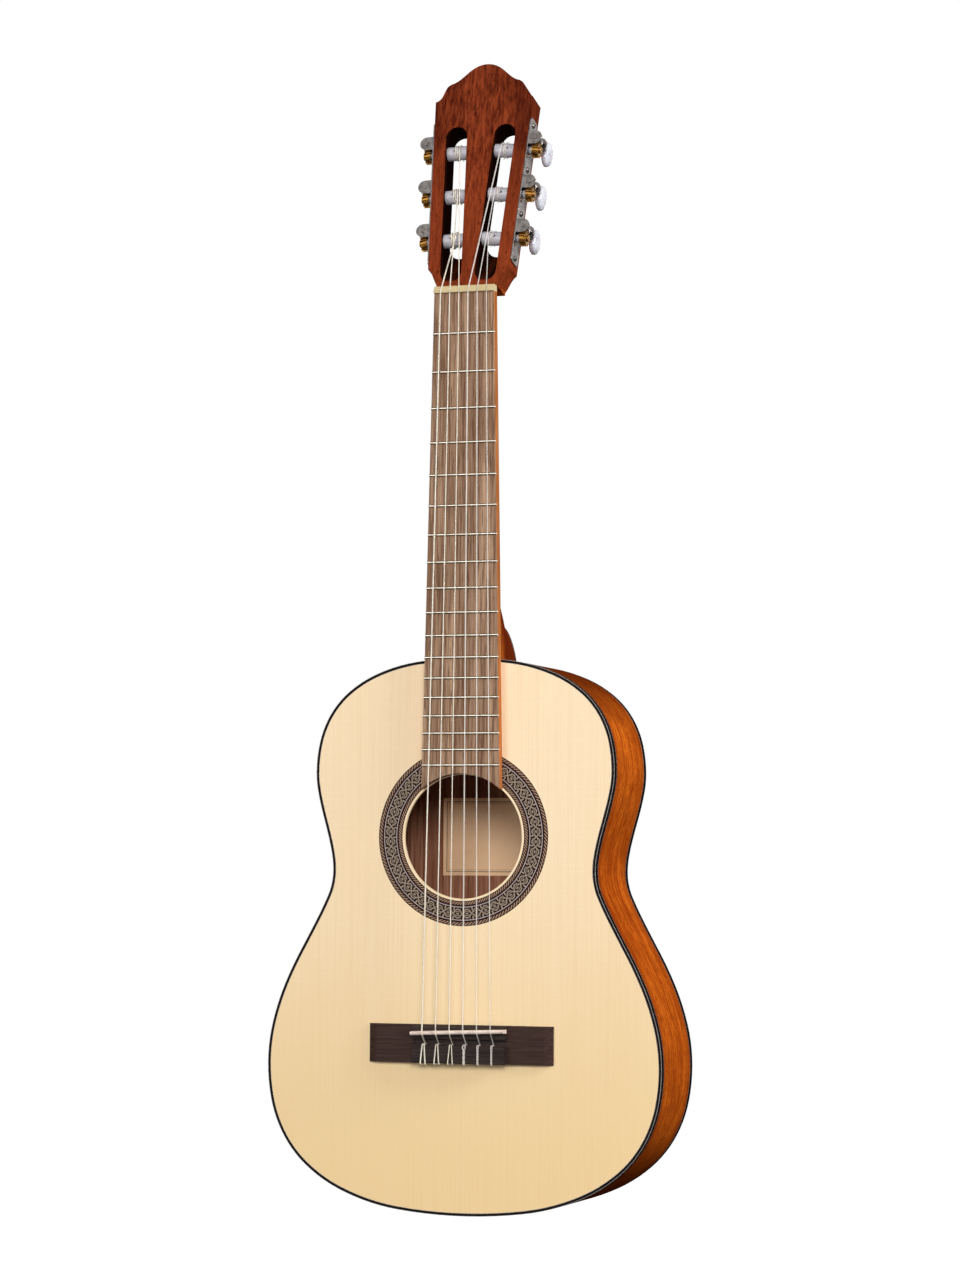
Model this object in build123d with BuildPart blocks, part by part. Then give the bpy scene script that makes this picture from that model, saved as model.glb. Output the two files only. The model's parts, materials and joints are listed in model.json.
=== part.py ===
from build123d import *
import os
from math import acos, asin, atan, atan2, cos, degrees, pi, radians, sin, sqrt, tan

# Classical guitar, half size, as an assembly of its separate pieces. Millimetres.
# +Z runs up the neck, -Y is the player's side, +X is the treble side seen from the front.
# The origin is on the centreline at the front edge of the nut, in the plane of the soundboard's face.

os.makedirs("parts", exist_ok=True)

# ---------------------------------------------------------------- driving sizes
# Scale and strings
scale_length = 535.0
compensation = 3.5
saddle_slant = 2.4
nut_string_spread = 35.2
saddle_string_spread = 52.0
string_diameters = [0.71, 0.82, 1.02, 0.74, 0.86, 1.09]

# Body outline, measured from the top of the body: half widths, where they lie, and how full each curve is
body_length = 403.0
upper_half_width = 114.3
upper_station = 82.9
waist_half_width = 100.4
waist_station = 154.8
lower_half_width = 150.2
lower_station = 295.6
shoulder_fullness = 87.8
upper_fullness = 44.7
upper_fall = 23.0
waist_fullness = 22.1
waist_rise = 32.5
lower_rise = 63.9
lower_fullness = 50.1
tail_fullness = 124.7

# Body plates and ribs
body_depth = 83.0
soundboard_thickness = 2.5
back_thickness = 2.5
side_thickness = 2.0
binding_width = 2.3
binding_height = 6.5
lining_width = 5.0
lining_height = 12.0

# Soundhole and rosette
soundhole_radius = 45.0
soundhole_to_twelfth_fret = 130.0
rosette_inner_radius = 46.6
rosette_outer_radius = 64.8
rosette_depth = 1.0

# Blocks, braces and label inside the body
neck_block_half_width = 34.0
neck_block_length = 50.0
tail_block_half_width = 26.0
tail_block_length = 13.0
bar_width = 7.0
top_bar_height = 14.0
back_bar_height = 12.0
bar_gap_to_soundhole = 13.0
fan_brace_width = 4.5
fan_brace_height = 6.0
fan_brace_count = 5
fan_brace_spread = 8.0
fan_brace_margin = 18.0
bridge_patch_length = 156.0
bridge_patch_width = 34.0
bridge_patch_thickness = 1.8
back_strip_width = 16.0
back_strip_thickness = 1.5
label_width = 86.0
label_height = 58.0
label_thickness = 0.2

# Neck, fingerboard, frets and nut
neck_width_at_nut = 46.0
neck_width_at_joint = 56.2
neck_depth_at_nut = 14.5
neck_depth_at_joint = 16.5
neck_root_deepening = (0.9, 2.7)
neck_root_under_face = 0.4
fingerboard_thickness = 6.8
fret_count = 18
joint_fret = 12
fret_width = 2.1
fret_crown = 1.0
fret_tang_width = 0.6
fret_tang_depth = 1.8
fingerboard_margin = 0.6
fingerboard_overhang = 11.5
nut_thickness = 5.0
nut_height = 8.9
nut_rear_drop = 1.9
nut_groove_floor = 7.95
nut_break = 1.2
nut_bend = 4.0
nut_groove_gap = 0.14
heel_length = 82.0
heel_dip = 4.0
heel_half_width = 13.5
heel_foot_length = 29.5
heel_cap_thickness = 1.8
tenon_width = 20.0
tenon_length = 14.0
tenon_depth = 52.0

# Headstock
head_angle = 14.2
head_rise = 1.5
head_thickness = 20.0
head_half_width = 30.5
head_flare = 2.87
head_corner = 15.1
head_shoulder = 151.8
head_crown = 180.8
# The outline's curve below each lower corner: inset from the straight side, and distance below the corner
head_foot_curve = [(7.0, 13.0), (5.5, 10.4), (3.3, 5.5)]
# The steps above each shoulder: inset from the straight side, and height above the shoulder
head_crown_steps = [(5.2, 4.4), (7.2, 9.6), (8.8, 12.3), (11.2, 14.0)]
# What pulls the crown's curve out at the steps and flattens it at the top: half width, and height
crown_step_pull = (17.0, 16.0)
crown_top_pull = (13.5, 0.2)
slot_width = 16.4
slot_wall = 9.5
slot_top = 129.4
slot_foot = 3.5
slot_ramp = 30.7

# Machine heads
post_pitch = 35.6
first_post = 40.1
post_depth = 8.0
roller_diameter = 10.5
journal_diameter = 6.0
journal_length = 5.0
roller_hole_diameter = 2.0
string_lane = 6.0
string_hole_offset = 4.3
winding_turns = 1.75
elbow_turn = 14.0
square_size = 4.0
gear_teeth = 14
gear_module = 0.72
gear_width = 4.8
gear_backlash = 0.25
worm_diameter = 6.6
worm_turns = 4
worm_offset = 6.0
key_diameter = 3.0
ferrule_diameter = 5.4
ferrule_length = 2.6
button_width = 20.0
button_length = 15.0
button_thickness = 7.6
button_reach = 23.5
button_bore_depth = 6.0
button_edge = 3.0
key_end = 0.6
plate_width = 14.0
plate_thickness = 1.2
ear_thickness = 1.2
ear_rim = 5.2
plate_corner = 2.5
screw_head_diameter = 5.0
screw_head_height = 1.5
screw_diameter = 2.4
screw_length = 9.0
screw_below_post = 16.0
screw_above_post = 20.0
plate_end_margin = 4.2
slot_cut = 0.7
gear_screw_head = 1.4
gear_screw_length = 6.5

# Bridge and saddle
bridge_length = 140.0
bridge_wing_thickness = 3.4
bridge_bevel = 6.0
bridge_end_thickness = 1.2
bridge_centre_length = 70.4
bridge_front_margin = 5.2
bed_height = 6.4
bed_behind_saddle = 5.0
bed_slope = 2.0
tie_groove_width = 4.5
tie_groove_floor = 2.8
tie_block_width = 13.0
tie_block_height = 8.6
tie_hole_diameter = 1.9
tie_hole_height = 4.6
tie_hole_lead = 1.0
tie_edge = 0.5
tie_bend = 1.2
saddle_length = 71.0
saddle_thickness = 2.8
saddle_height = 11.9
saddle_slot_depth = 4.5
tie_loop_half_width = 1.7
tie_loop_spread = 1.3

# Named clearances
running_gap = 0.06
end_float = 0.3
cut_margin = 1.0
seat_gap = 0.05
brace_gap = 0.3
wrap_gap = 0.3
lane_gap = 0.9
mesh_gap = 0.05

# ---------------------------------------------------------------- derived places


def fret_position(fret):
    """Height of a fret line: each fret stops the string a semitone shorter."""
    return scale_length * 2 ** (-fret / 12) - scale_length


def width_at(z):
    """Width of the neck and fingerboard at a height, tapering in a straight line."""
    return neck_width_at_nut + (neck_width_at_joint - neck_width_at_nut) * z / fret_position(joint_fret)


def string_x(number, spread):
    """Sideways place of a string: 1 is the thinnest, on the treble side."""
    return spread * (3.5 - number) / 5


body_top = fret_position(joint_fret)
body_bottom = body_top - body_length
saddle_z = -scale_length - compensation
soundhole_z = body_top - soundhole_to_twelfth_fret
fingerboard_end = soundhole_z + soundhole_radius - fingerboard_overhang
lining_inset = side_thickness + lining_width
neck_block_foot = body_top - side_thickness - neck_block_length
tail_block_top = body_bottom + side_thickness + tail_block_length
back_inner = body_depth - back_thickness
heel_depth = body_depth - heel_cap_thickness
far = 1000.0


def board_plane(depth):
    """Plane parallel to the soundboard, at a depth behind its face: x is +X and y is +Z."""
    return Plane.XZ.offset(-depth)


# Plane of the headstock's face: x is +X, y runs up the face, and z points to the player
head_plane = Plane(
    origin=(0, -head_rise, nut_thickness),
    x_dir=(1, 0, 0),
    z_dir=(0, -cos(radians(head_angle)), sin(radians(head_angle))),
)
outward = head_plane.x_dir * cos(radians(head_flare)) - head_plane.y_dir * sin(radians(head_flare))
upward = head_plane.x_dir * sin(radians(head_flare)) + head_plane.y_dir * cos(radians(head_flare))
rearward = head_plane.z_dir * -1


def side_point(out, up, depth):
    """Point by the treble edge of the headstock's face: out from its side, up along it, and behind it."""
    edge = head_plane.from_local_coords(Vector(head_half_width, 0, 0))
    return edge + outward * out + upward * up + rearward * depth


def mirrored(vector):
    return Vector(-vector.X, vector.Y, vector.Z)


# Planes of the two sides' features seen on the face: x points out of the side and y runs up along it
treble_face = Plane(origin=side_point(0, 0, 0), x_dir=outward, z_dir=rearward * -1)
bass_face = Plane(origin=mirrored(side_point(0, 0, 0)), x_dir=mirrored(outward), z_dir=rearward)
post_heights = [first_post + post_pitch * place for place in range(3)]
slot_centre = -slot_wall - slot_width / 2
slot_inner = -slot_wall - slot_width
screw_heights = [up - screw_below_post for up in post_heights] + [post_heights[-1] + screw_above_post]


def post_plane(up, out=0):
    """Plane square to a treble roller, a distance out from the side: x runs up it, and y to the player."""
    return Plane(origin=side_point(out, up, post_depth), x_dir=upward, z_dir=outward)


def bass_plane(plane):
    """The same plane on the bass side; its y is turned about."""
    return Plane(origin=mirrored(plane.origin), x_dir=mirrored(plane.x_dir), z_dir=mirrored(plane.z_dir))


# Worm and gear
gear_pitch_radius = gear_module * gear_teeth / 2
gear_tip_radius = gear_pitch_radius + gear_module
gear_root_radius = gear_pitch_radius - 1.25 * gear_module
worm_pitch_radius = worm_diameter / 2 - gear_module
worm_root_radius = worm_diameter / 2 - 2.2 * gear_module
thread_pitch = pi * gear_module
flank = tan(radians(20))
lead_angle = degrees(atan(gear_module / (2 * worm_pitch_radius)))
centre_distance = gear_pitch_radius + worm_pitch_radius + mesh_gap
gear_inner = worm_offset - gear_width / 2


def key_plane(up):
    """Frame of a treble key: z is its axis and points to the player, and y runs up along the side."""
    return Plane(
        origin=side_point(worm_offset, up + centre_distance, post_depth),
        x_dir=outward,
        z_dir=rearward * -1,
    )


# ---------------------------------------------------------------- the body's outline
# The treble half as four cubic curves: shoulder, upper bout to waist, waist to lower bout, and tail
upper_z = body_top - upper_station
waist_z = body_top - waist_station
lower_z = body_top - lower_station
body_curves = [
    [
        (0, body_top),
        (shoulder_fullness, body_top),
        (upper_half_width, upper_z + upper_fullness),
        (upper_half_width, upper_z),
    ],
    [
        (upper_half_width, upper_z),
        (upper_half_width, upper_z - upper_fall),
        (waist_half_width, waist_z + waist_fullness),
        (waist_half_width, waist_z),
    ],
    [
        (waist_half_width, waist_z),
        (waist_half_width, waist_z - waist_rise),
        (lower_half_width, lower_z + lower_rise),
        (lower_half_width, lower_z),
    ],
    [
        (lower_half_width, lower_z),
        (lower_half_width, lower_z - lower_fullness),
        (tail_fullness, body_bottom),
        (0, body_bottom),
    ],
]
spans_per_curve = 3


def curve_point(handles, share):
    """Place and direction on a cubic curve, at a share of its parameter."""
    a, b, c, d = (Vector(*handle) for handle in handles)
    rest = 1 - share
    place = a * rest**3 + b * (3 * rest**2 * share) + c * (3 * rest * share**2) + d * share**3
    way = (b - a) * rest**2 + (c - b) * (2 * rest * share) + (d - c) * share**2
    return place, way.normalized()


def arc_joint(start, start_way, end, end_way):
    """Place and direction where the two arcs meet that run smoothly between two places and directions."""
    chord = end - start
    along = chord.dot(start_way + end_way)
    turn = 2 * (1 - start_way.dot(end_way))
    reach = (sqrt(along**2 + turn * chord.dot(chord)) - along) / turn
    joint = (start + end + (start_way - end_way) * reach) / 2
    step = joint - start
    way = step * (2 * step.dot(start_way) / step.dot(step)) - start_way
    return joint, way.normalized()


def body_outline(inset=0.0):
    """The body's outline taken in by a distance, as tangent arcs that stay concentric at every distance."""
    with BuildSketch() as outline:
        with BuildLine():
            for side in (1, -1):
                for handles in body_curves:
                    for span in range(spans_per_curve):
                        start = curve_point(handles, span / spans_per_curve)
                        end = curve_point(handles, (span + 1) / spans_per_curve)
                        corners = [
                            (
                                Vector(side * (place.X + way.Y * inset), place.Y - way.X * inset),
                                Vector(side * way.X, way.Y),
                            )
                            for place, way in (start, arc_joint(*start, *end), end)
                        ]
                        TangentArc(corners[0][0], corners[1][0], tangent=corners[0][1])
                        TangentArc(corners[1][0], corners[2][0], tangent=corners[1][1])
        make_face()
    return outline.sketch


outer_outline = body_outline()
inside_sides = body_outline(side_thickness)
inside_binding = body_outline(binding_width)
inside_linings = body_outline(lining_inset)
inside_braces = body_outline(lining_inset + brace_gap)
inside_fan = body_outline(lining_inset + fan_brace_margin)

# ---------------------------------------------------------------- body
with BuildPart() as soundboard:
    with BuildSketch(board_plane(0)):
        add(inside_binding)
        with Locations((0, soundhole_z)):
            Circle(soundhole_radius, mode=Mode.SUBTRACT)
    extrude(amount=-soundboard_thickness)
    with BuildSketch(board_plane(0)):
        with Locations((0, soundhole_z)):
            Circle(rosette_outer_radius)
            Circle(rosette_inner_radius, mode=Mode.SUBTRACT)
    extrude(amount=-rosette_depth, mode=Mode.SUBTRACT)
soundboard.part.label = "soundboard"
export_step(soundboard.part, "parts/soundboard.step")

with BuildPart() as rosette:
    with BuildSketch(board_plane(0)):
        with Locations((0, soundhole_z)):
            Circle(rosette_outer_radius)
            Circle(rosette_inner_radius, mode=Mode.SUBTRACT)
    extrude(amount=-rosette_depth)
rosette.part.label = "rosette"
export_step(rosette.part, "parts/rosette.step")

with BuildPart() as back:
    with BuildSketch(board_plane(back_inner)):
        add(inside_binding)
    extrude(amount=-back_thickness)
back.part.label = "back"
export_step(back.part, "parts/back.step")

with BuildPart() as top_binding:
    with BuildSketch(board_plane(0)):
        add(outer_outline)
        add(inside_binding, mode=Mode.SUBTRACT)
    extrude(amount=-binding_height)
top_binding.part.label = "top_binding"
export_step(top_binding.part, "parts/top_binding.step")

with BuildPart() as back_binding:
    with BuildSketch(board_plane(body_depth - binding_height)):
        add(outer_outline)
        add(inside_binding, mode=Mode.SUBTRACT)
    extrude(amount=-binding_height)
back_binding.part.label = "back_binding"
export_step(back_binding.part, "parts/back_binding.step")

# The two bent sides meet at the tail, and stand apart at the neck for its tenon
with BuildPart() as side_treble:
    with BuildSketch(board_plane(binding_height)):
        add(outer_outline)
        add(inside_sides, mode=Mode.SUBTRACT)
        with Locations((0, body_top)):
            Rectangle(tenon_width, 6 * side_thickness, mode=Mode.SUBTRACT)
        with Locations((-far / 2, 0)):
            Rectangle(far, 2 * far, mode=Mode.SUBTRACT)
    extrude(amount=-(body_depth - 2 * binding_height))
side_treble.part.label = "side_treble"
export_step(side_treble.part, "parts/side_treble.step")

with BuildPart() as side_bass:
    add(side_treble.part)
    mirror(about=Plane.YZ, mode=Mode.REPLACE)
side_bass.part.label = "side_bass"
export_step(side_bass.part, "parts/side_bass.step")

tenon_start = binding_height
with BuildPart() as neck_block:
    with BuildSketch(board_plane(soundboard_thickness)):
        add(inside_binding)
        with Locations((0, body_top)):
            Rectangle(
                2 * neck_block_half_width,
                2 * (body_top - neck_block_foot),
                mode=Mode.INTERSECT,
            )
    extrude(amount=-(back_inner - soundboard_thickness))
    with BuildSketch(board_plane(tenon_start)):
        with Locations((0, body_top)):
            Rectangle(tenon_width, 2 * tenon_length)
    extrude(amount=-tenon_depth, mode=Mode.SUBTRACT)
neck_block.part.label = "neck_block"
export_step(neck_block.part, "parts/neck_block.step")

with BuildPart() as tail_block:
    with BuildSketch(board_plane(soundboard_thickness)):
        add(inside_binding)
        with Locations((0, body_bottom)):
            Rectangle(
                2 * tail_block_half_width,
                2 * (tail_block_top - body_bottom),
                mode=Mode.INTERSECT,
            )
    extrude(amount=-(back_inner - soundboard_thickness))
tail_block.part.label = "tail_block"
export_step(tail_block.part, "parts/tail_block.step")

# Linings: strips along the sides under the soundboard and the back, stopped at the two blocks
with BuildSketch() as lining_ring:
    add(inside_binding)
    add(inside_linings, mode=Mode.SUBTRACT)
    with Locations((0, body_top)):
        Rectangle(
            2 * neck_block_half_width + 2 * seat_gap,
            2 * (body_top - neck_block_foot),
            mode=Mode.SUBTRACT,
        )
    with Locations((0, body_bottom)):
        Rectangle(
            2 * tail_block_half_width + 2 * seat_gap,
            2 * (tail_block_top - body_bottom),
            mode=Mode.SUBTRACT,
        )

with BuildPart() as linings:
    with BuildSketch(board_plane(soundboard_thickness)):
        add(lining_ring.sketch)
    extrude(amount=-lining_height)
    with BuildSketch(board_plane(back_inner - lining_height)):
        add(lining_ring.sketch)
    extrude(amount=-lining_height)
linings.part.label = "linings"
export_step(linings.part, "parts/linings.step")

# Braces under the soundboard: a bar each side of the soundhole, and a fan notched over the bridge patch
upper_bar_z = soundhole_z + soundhole_radius + bar_gap_to_soundhole + bar_width / 2
lower_bar_z = soundhole_z - soundhole_radius - bar_gap_to_soundhole - bar_width / 2
bridge_front = saddle_z + bridge_front_margin
groove_front = saddle_z - bed_behind_saddle
groove_rear = groove_front - tie_groove_width
bridge_rear = groove_rear - tie_block_width
bridge_middle = (bridge_front + bridge_rear) / 2
fan_top = lower_bar_z - bar_width / 2 - brace_gap

with BuildPart() as bridge_patch:
    with BuildSketch(board_plane(soundboard_thickness)):
        with Locations((0, bridge_middle)):
            Rectangle(bridge_patch_length, bridge_patch_width)
    extrude(amount=-bridge_patch_thickness)
bridge_patch.part.label = "bridge_patch"
export_step(bridge_patch.part, "parts/bridge_patch.step")

with BuildPart() as top_braces:
    with BuildSketch(board_plane(soundboard_thickness)):
        with Locations((0, upper_bar_z), (0, lower_bar_z)):
            Rectangle(far, bar_width)
        add(inside_braces, mode=Mode.INTERSECT)
    extrude(amount=-top_bar_height)
    with BuildSketch(board_plane(soundboard_thickness)):
        with Locations((0, body_top)):
            with PolarLocations(
                body_length,
                fan_brace_count,
                start_angle=-90 - fan_brace_spread * (fan_brace_count - 1) / 2,
                angular_range=fan_brace_spread * (fan_brace_count - 1),
                endpoint=True,
            ):
                Rectangle(1.2 * body_length, fan_brace_width)
        with Locations((0, fan_top)):
            Rectangle(far, far, align=(Align.CENTER, Align.MIN), mode=Mode.SUBTRACT)
        add(inside_fan, mode=Mode.INTERSECT)
    extrude(amount=-fan_brace_height)
    with BuildSketch(board_plane(soundboard_thickness)):
        with Locations((0, bridge_middle)):
            Rectangle(bridge_patch_length, bridge_patch_width)
    extrude(amount=-bridge_patch_thickness, mode=Mode.SUBTRACT)
top_braces.part.label = "top_braces"
export_step(top_braces.part, "parts/top_braces.step")

# Braces on the back: three bars, with a strip over the centre joint that leaves room for the label
back_bars = [body_top - body_length * share for share in (0.185, 0.455, 0.73)]
strip_spans = [
    (neck_block_foot, back_bars[0] + bar_width / 2),
    (back_bars[1] - bar_width / 2, back_bars[2] + bar_width / 2),
    (back_bars[2] - bar_width / 2, tail_block_top),
]
with BuildPart() as back_braces:
    with BuildSketch(board_plane(back_inner)):
        with Locations(*[(0, place) for place in back_bars]):
            Rectangle(far, bar_width)
        add(inside_braces, mode=Mode.INTERSECT)
    extrude(amount=back_bar_height)
    with BuildSketch(board_plane(back_inner)):
        for upper_end, lower_end in strip_spans:
            with Locations((0, (upper_end + lower_end) / 2)):
                Rectangle(back_strip_width, upper_end - lower_end - 2 * brace_gap)
    extrude(amount=back_strip_thickness)
back_braces.part.label = "back_braces"
export_step(back_braces.part, "parts/back_braces.step")

with BuildPart() as label:
    with BuildSketch(board_plane(back_inner)):
        with Locations((0, (back_bars[0] + back_bars[1]) / 2)):
            Rectangle(label_width, label_height)
    extrude(amount=label_thickness)
label.part.label = "label"
export_step(label.part, "parts/label.step")

# ---------------------------------------------------------------- neck, with its heel and headstock
def round_back(half_width, depth):
    """A closed D: flat along x, with a rounded back that reaches a depth along y."""
    shoulder = 0.42 * depth
    nose = 0.3 * half_width
    bulge = (32 * depth - 10 * shoulder) / 20
    with BuildSketch() as section:
        with BuildLine():
            Bezier(
                (half_width, 0),
                (half_width, shoulder),
                (nose, bulge),
                (-nose, bulge),
                (-half_width, shoulder),
                (-half_width, 0),
            )
            Line((-half_width, 0), (half_width, 0))
        make_face()
    return section.sketch


# The neck deepens evenly from its root to the joint, and curves out into the headstock above the root
root_pitch = 2 * nut_thickness
root_depths = [neck_depth_at_nut + deepening for deepening in (0, *neck_root_deepening)]
root_depths.append(head_thickness - neck_root_under_face)
root_start = -1.5 * root_pitch
# Sections of the heel above its foot, as shares: how deep each lies, its reach up the neck, and its width
heel_sections = [(0.0, 1.0, 1.0), (0.17, 0.97, 1.0), (0.3, 0.78, 0.95), (0.47, 0.55, 0.8), (0.69, 0.43, 0.62)]


def heel_plane(depth):
    return Plane(origin=(0, depth, body_top - heel_dip), x_dir=(1, 0, 0), z_dir=(0, -1, 0))


def head_x(up, inset):
    """Half width of the straight-sided part of the headstock at a height up its face."""
    return head_half_width + tan(radians(head_flare)) * up - inset


head_foot = [(head_x(0, inset), head_corner - below) for inset, below in head_foot_curve]
head_side = [(head_x(head_corner, 0), head_corner), (head_x(head_shoulder, 0), head_shoulder)]
head_steps = [(head_x(head_shoulder, inset), head_shoulder + above) for inset, above in head_crown_steps]

with BuildSketch() as head_face:
    with BuildLine():
        Line((0, 0), (head_foot[0][0], 0))
        Line((head_foot[0][0], 0), head_foot[0])
        Spline(*head_foot, head_side[0])
        Line(*head_side)
        Spline(head_side[1], *head_steps[:3])
        Line(head_steps[2], head_steps[3])
        Bezier(
            head_steps[3],
            (crown_step_pull[0], head_shoulder + crown_step_pull[1]),
            (crown_top_pull[0], head_crown - crown_top_pull[1]),
            (0, head_crown),
        )
        mirror(about=Plane.YZ)
    make_face()

with BuildPart() as neck:
    for height, depth in ((body_top - tenon_length / 2, neck_depth_at_joint), (root_start, root_depths[0])):
        with BuildSketch(Plane.XY.offset(height)):
            add(round_back(width_at(height) / 2, depth))
    loft(ruled=True)
    for step, depth in enumerate(root_depths):
        height = root_start + root_pitch * step
        with BuildSketch(Plane.XY.offset(height)):
            add(round_back(width_at(min(height, 0)) / 2, depth))
    loft()
    for share, reach, width in heel_sections:
        with BuildSketch(heel_plane(share * heel_depth)):
            add(round_back(neck_width_at_joint / 2 * width, heel_length * reach + heel_dip))
    with BuildSketch(heel_plane(heel_depth)):
        add(round_back(heel_half_width, heel_foot_length + heel_dip))
    loft()
    # What stands in front of the headstock's face or inside the body's outline goes
    with BuildSketch(head_plane):
        Rectangle(far, far)
    extrude(amount=far, mode=Mode.SUBTRACT)
    with BuildSketch(board_plane(0)):
        add(outer_outline)
    extrude(amount=-body_depth, mode=Mode.SUBTRACT)
    # The headstock, cut square where the nut sits against its face
    with BuildSketch(head_plane):
        add(head_face.sketch)
    extrude(amount=-head_thickness)
    with BuildSketch(Plane.XZ):
        Rectangle(far, far / 2, align=(Align.CENTER, Align.MAX))
        with Locations((0, 0)):
            Rectangle(far, nut_thickness, align=(Align.CENTER, Align.MIN))
    extrude(amount=far, mode=Mode.SUBTRACT)
    # Slots between the rollers, each with a ramp towards the nut
    ramp_rise = slot_ramp - slot_foot
    ramp_length = ramp_rise + 1.5 * slot_width
    for face_plane, side_up in ((treble_face, upward), (bass_face, mirrored(upward))):
        with BuildSketch(face_plane):
            with Locations((slot_centre, (slot_ramp + slot_top) / 2)):
                SlotOverall(slot_top - slot_ramp, slot_width, rotation=90)
        extrude(amount=far, both=True, mode=Mode.SUBTRACT)
        with BuildSketch(face_plane):
            with Locations((slot_centre, slot_foot + ramp_length / 2)):
                SlotOverall(ramp_length, slot_width, rotation=90)
        ramp = rearward * head_thickness + side_up * ramp_rise
        extrude(amount=1.1 * ramp.length, dir=ramp, mode=Mode.SUBTRACT)
    # Holes for the rollers, through each side wall and into the middle, and for the plates' screws
    for up in post_heights:
        for plane in (post_plane(up), bass_plane(post_plane(up))):
            with BuildSketch(plane.offset(cut_margin)):
                Circle(roller_diameter / 2 + running_gap)
            extrude(amount=slot_centre - cut_margin, mode=Mode.SUBTRACT)
            with BuildSketch(plane.offset(slot_centre)):
                Circle(journal_diameter / 2 + running_gap)
            extrude(amount=-(slot_width / 2 + journal_length + end_float), mode=Mode.SUBTRACT)
    for up in screw_heights:
        for plane in (post_plane(up), bass_plane(post_plane(up))):
            with BuildSketch(plane):
                Circle(screw_diameter / 2 + seat_gap)
            extrude(amount=-(screw_length - plate_thickness), mode=Mode.SUBTRACT)
    # The tenon, which stands in the neck block's mortise
    with BuildSketch(board_plane(tenon_start)):
        with Locations((0, body_top)):
            Rectangle(tenon_width, 2 * tenon_length)
    extrude(amount=-tenon_depth)
neck.part.label = "neck"
export_step(neck.part, "parts/neck.step")

with BuildPart() as heel_cap:
    with BuildSketch(heel_plane(heel_depth)):
        add(round_back(heel_half_width, heel_foot_length + heel_dip))
    extrude(amount=-heel_cap_thickness)
    with BuildSketch(board_plane(0)):
        add(outer_outline)
    extrude(amount=-body_depth, mode=Mode.SUBTRACT)
heel_cap.part.label = "heel_cap"
export_step(heel_cap.part, "parts/heel_cap.step")

# ---------------------------------------------------------------- fingerboard, frets and nut
fret_heights = [fret_position(fret) for fret in range(1, fret_count + 1)]
with BuildPart() as fingerboard:
    with BuildSketch(board_plane(0)):
        with BuildLine():
            Polyline(
                (width_at(0) / 2, 0),
                (width_at(fingerboard_end) / 2, fingerboard_end),
                (-width_at(fingerboard_end) / 2, fingerboard_end),
                (-width_at(0) / 2, 0),
                close=True,
            )
        make_face()
        with Locations((0, soundhole_z)):
            Circle(soundhole_radius + fingerboard_margin, mode=Mode.SUBTRACT)
    extrude(amount=fingerboard_thickness)
    with BuildSketch(board_plane(-fingerboard_thickness)):
        for height in fret_heights:
            with Locations((0, height)):
                Rectangle(far, fret_tang_width)
    extrude(amount=-fret_tang_depth, mode=Mode.SUBTRACT)
fingerboard.part.label = "fingerboard"
export_step(fingerboard.part, "parts/fingerboard.step")

with BuildPart() as frets:
    for height in fret_heights:
        with BuildSketch(Plane.YZ):
            with BuildLine():
                ThreePointArc(
                    (-fingerboard_thickness, height - fret_width / 2),
                    (-fingerboard_thickness - fret_crown, height),
                    (-fingerboard_thickness, height + fret_width / 2),
                )
                Polyline(
                    (-fingerboard_thickness, height + fret_width / 2),
                    (-fingerboard_thickness, height + fret_tang_width / 2),
                    (fret_tang_depth - fingerboard_thickness, height + fret_tang_width / 2),
                    (fret_tang_depth - fingerboard_thickness, height - fret_tang_width / 2),
                    (-fingerboard_thickness, height - fret_tang_width / 2),
                    (-fingerboard_thickness, height - fret_width / 2),
                )
            make_face()
        extrude(amount=width_at(height + fret_width / 2) / 2, both=True)
frets.part.label = "frets"
export_step(frets.part, "parts/frets.step")

# ---------------------------------------------------------------- where the strings run
roller_radius = roller_diameter / 2
crown_radius = saddle_thickness / 2
saddle_angle = degrees(atan(saddle_slant / saddle_length))
wrap_corners = 4
wrap_turn = 60


def post_of(number):
    """Which roller takes a string, counted from the nut: the outer strings take the lowest pair."""
    return min(number, 7 - number) - 1


def lane_plane(number, shift=0):
    """Plane square to a string's roller where the string meets it, on the treble side."""
    return post_plane(post_heights[post_of(number)], slot_inner + string_lane + shift)


def to_side(number, point):
    """A point on the treble side, put on the string's own side."""
    return point if number <= 3 else mirrored(point)


def crosses(number):
    """Where a string crosses the saddle's crown: sideways, in height and along the body."""
    x = string_x(number, saddle_string_spread)
    return x, saddle_height - crown_radius, saddle_z + x * tan(radians(saddle_angle))


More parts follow.
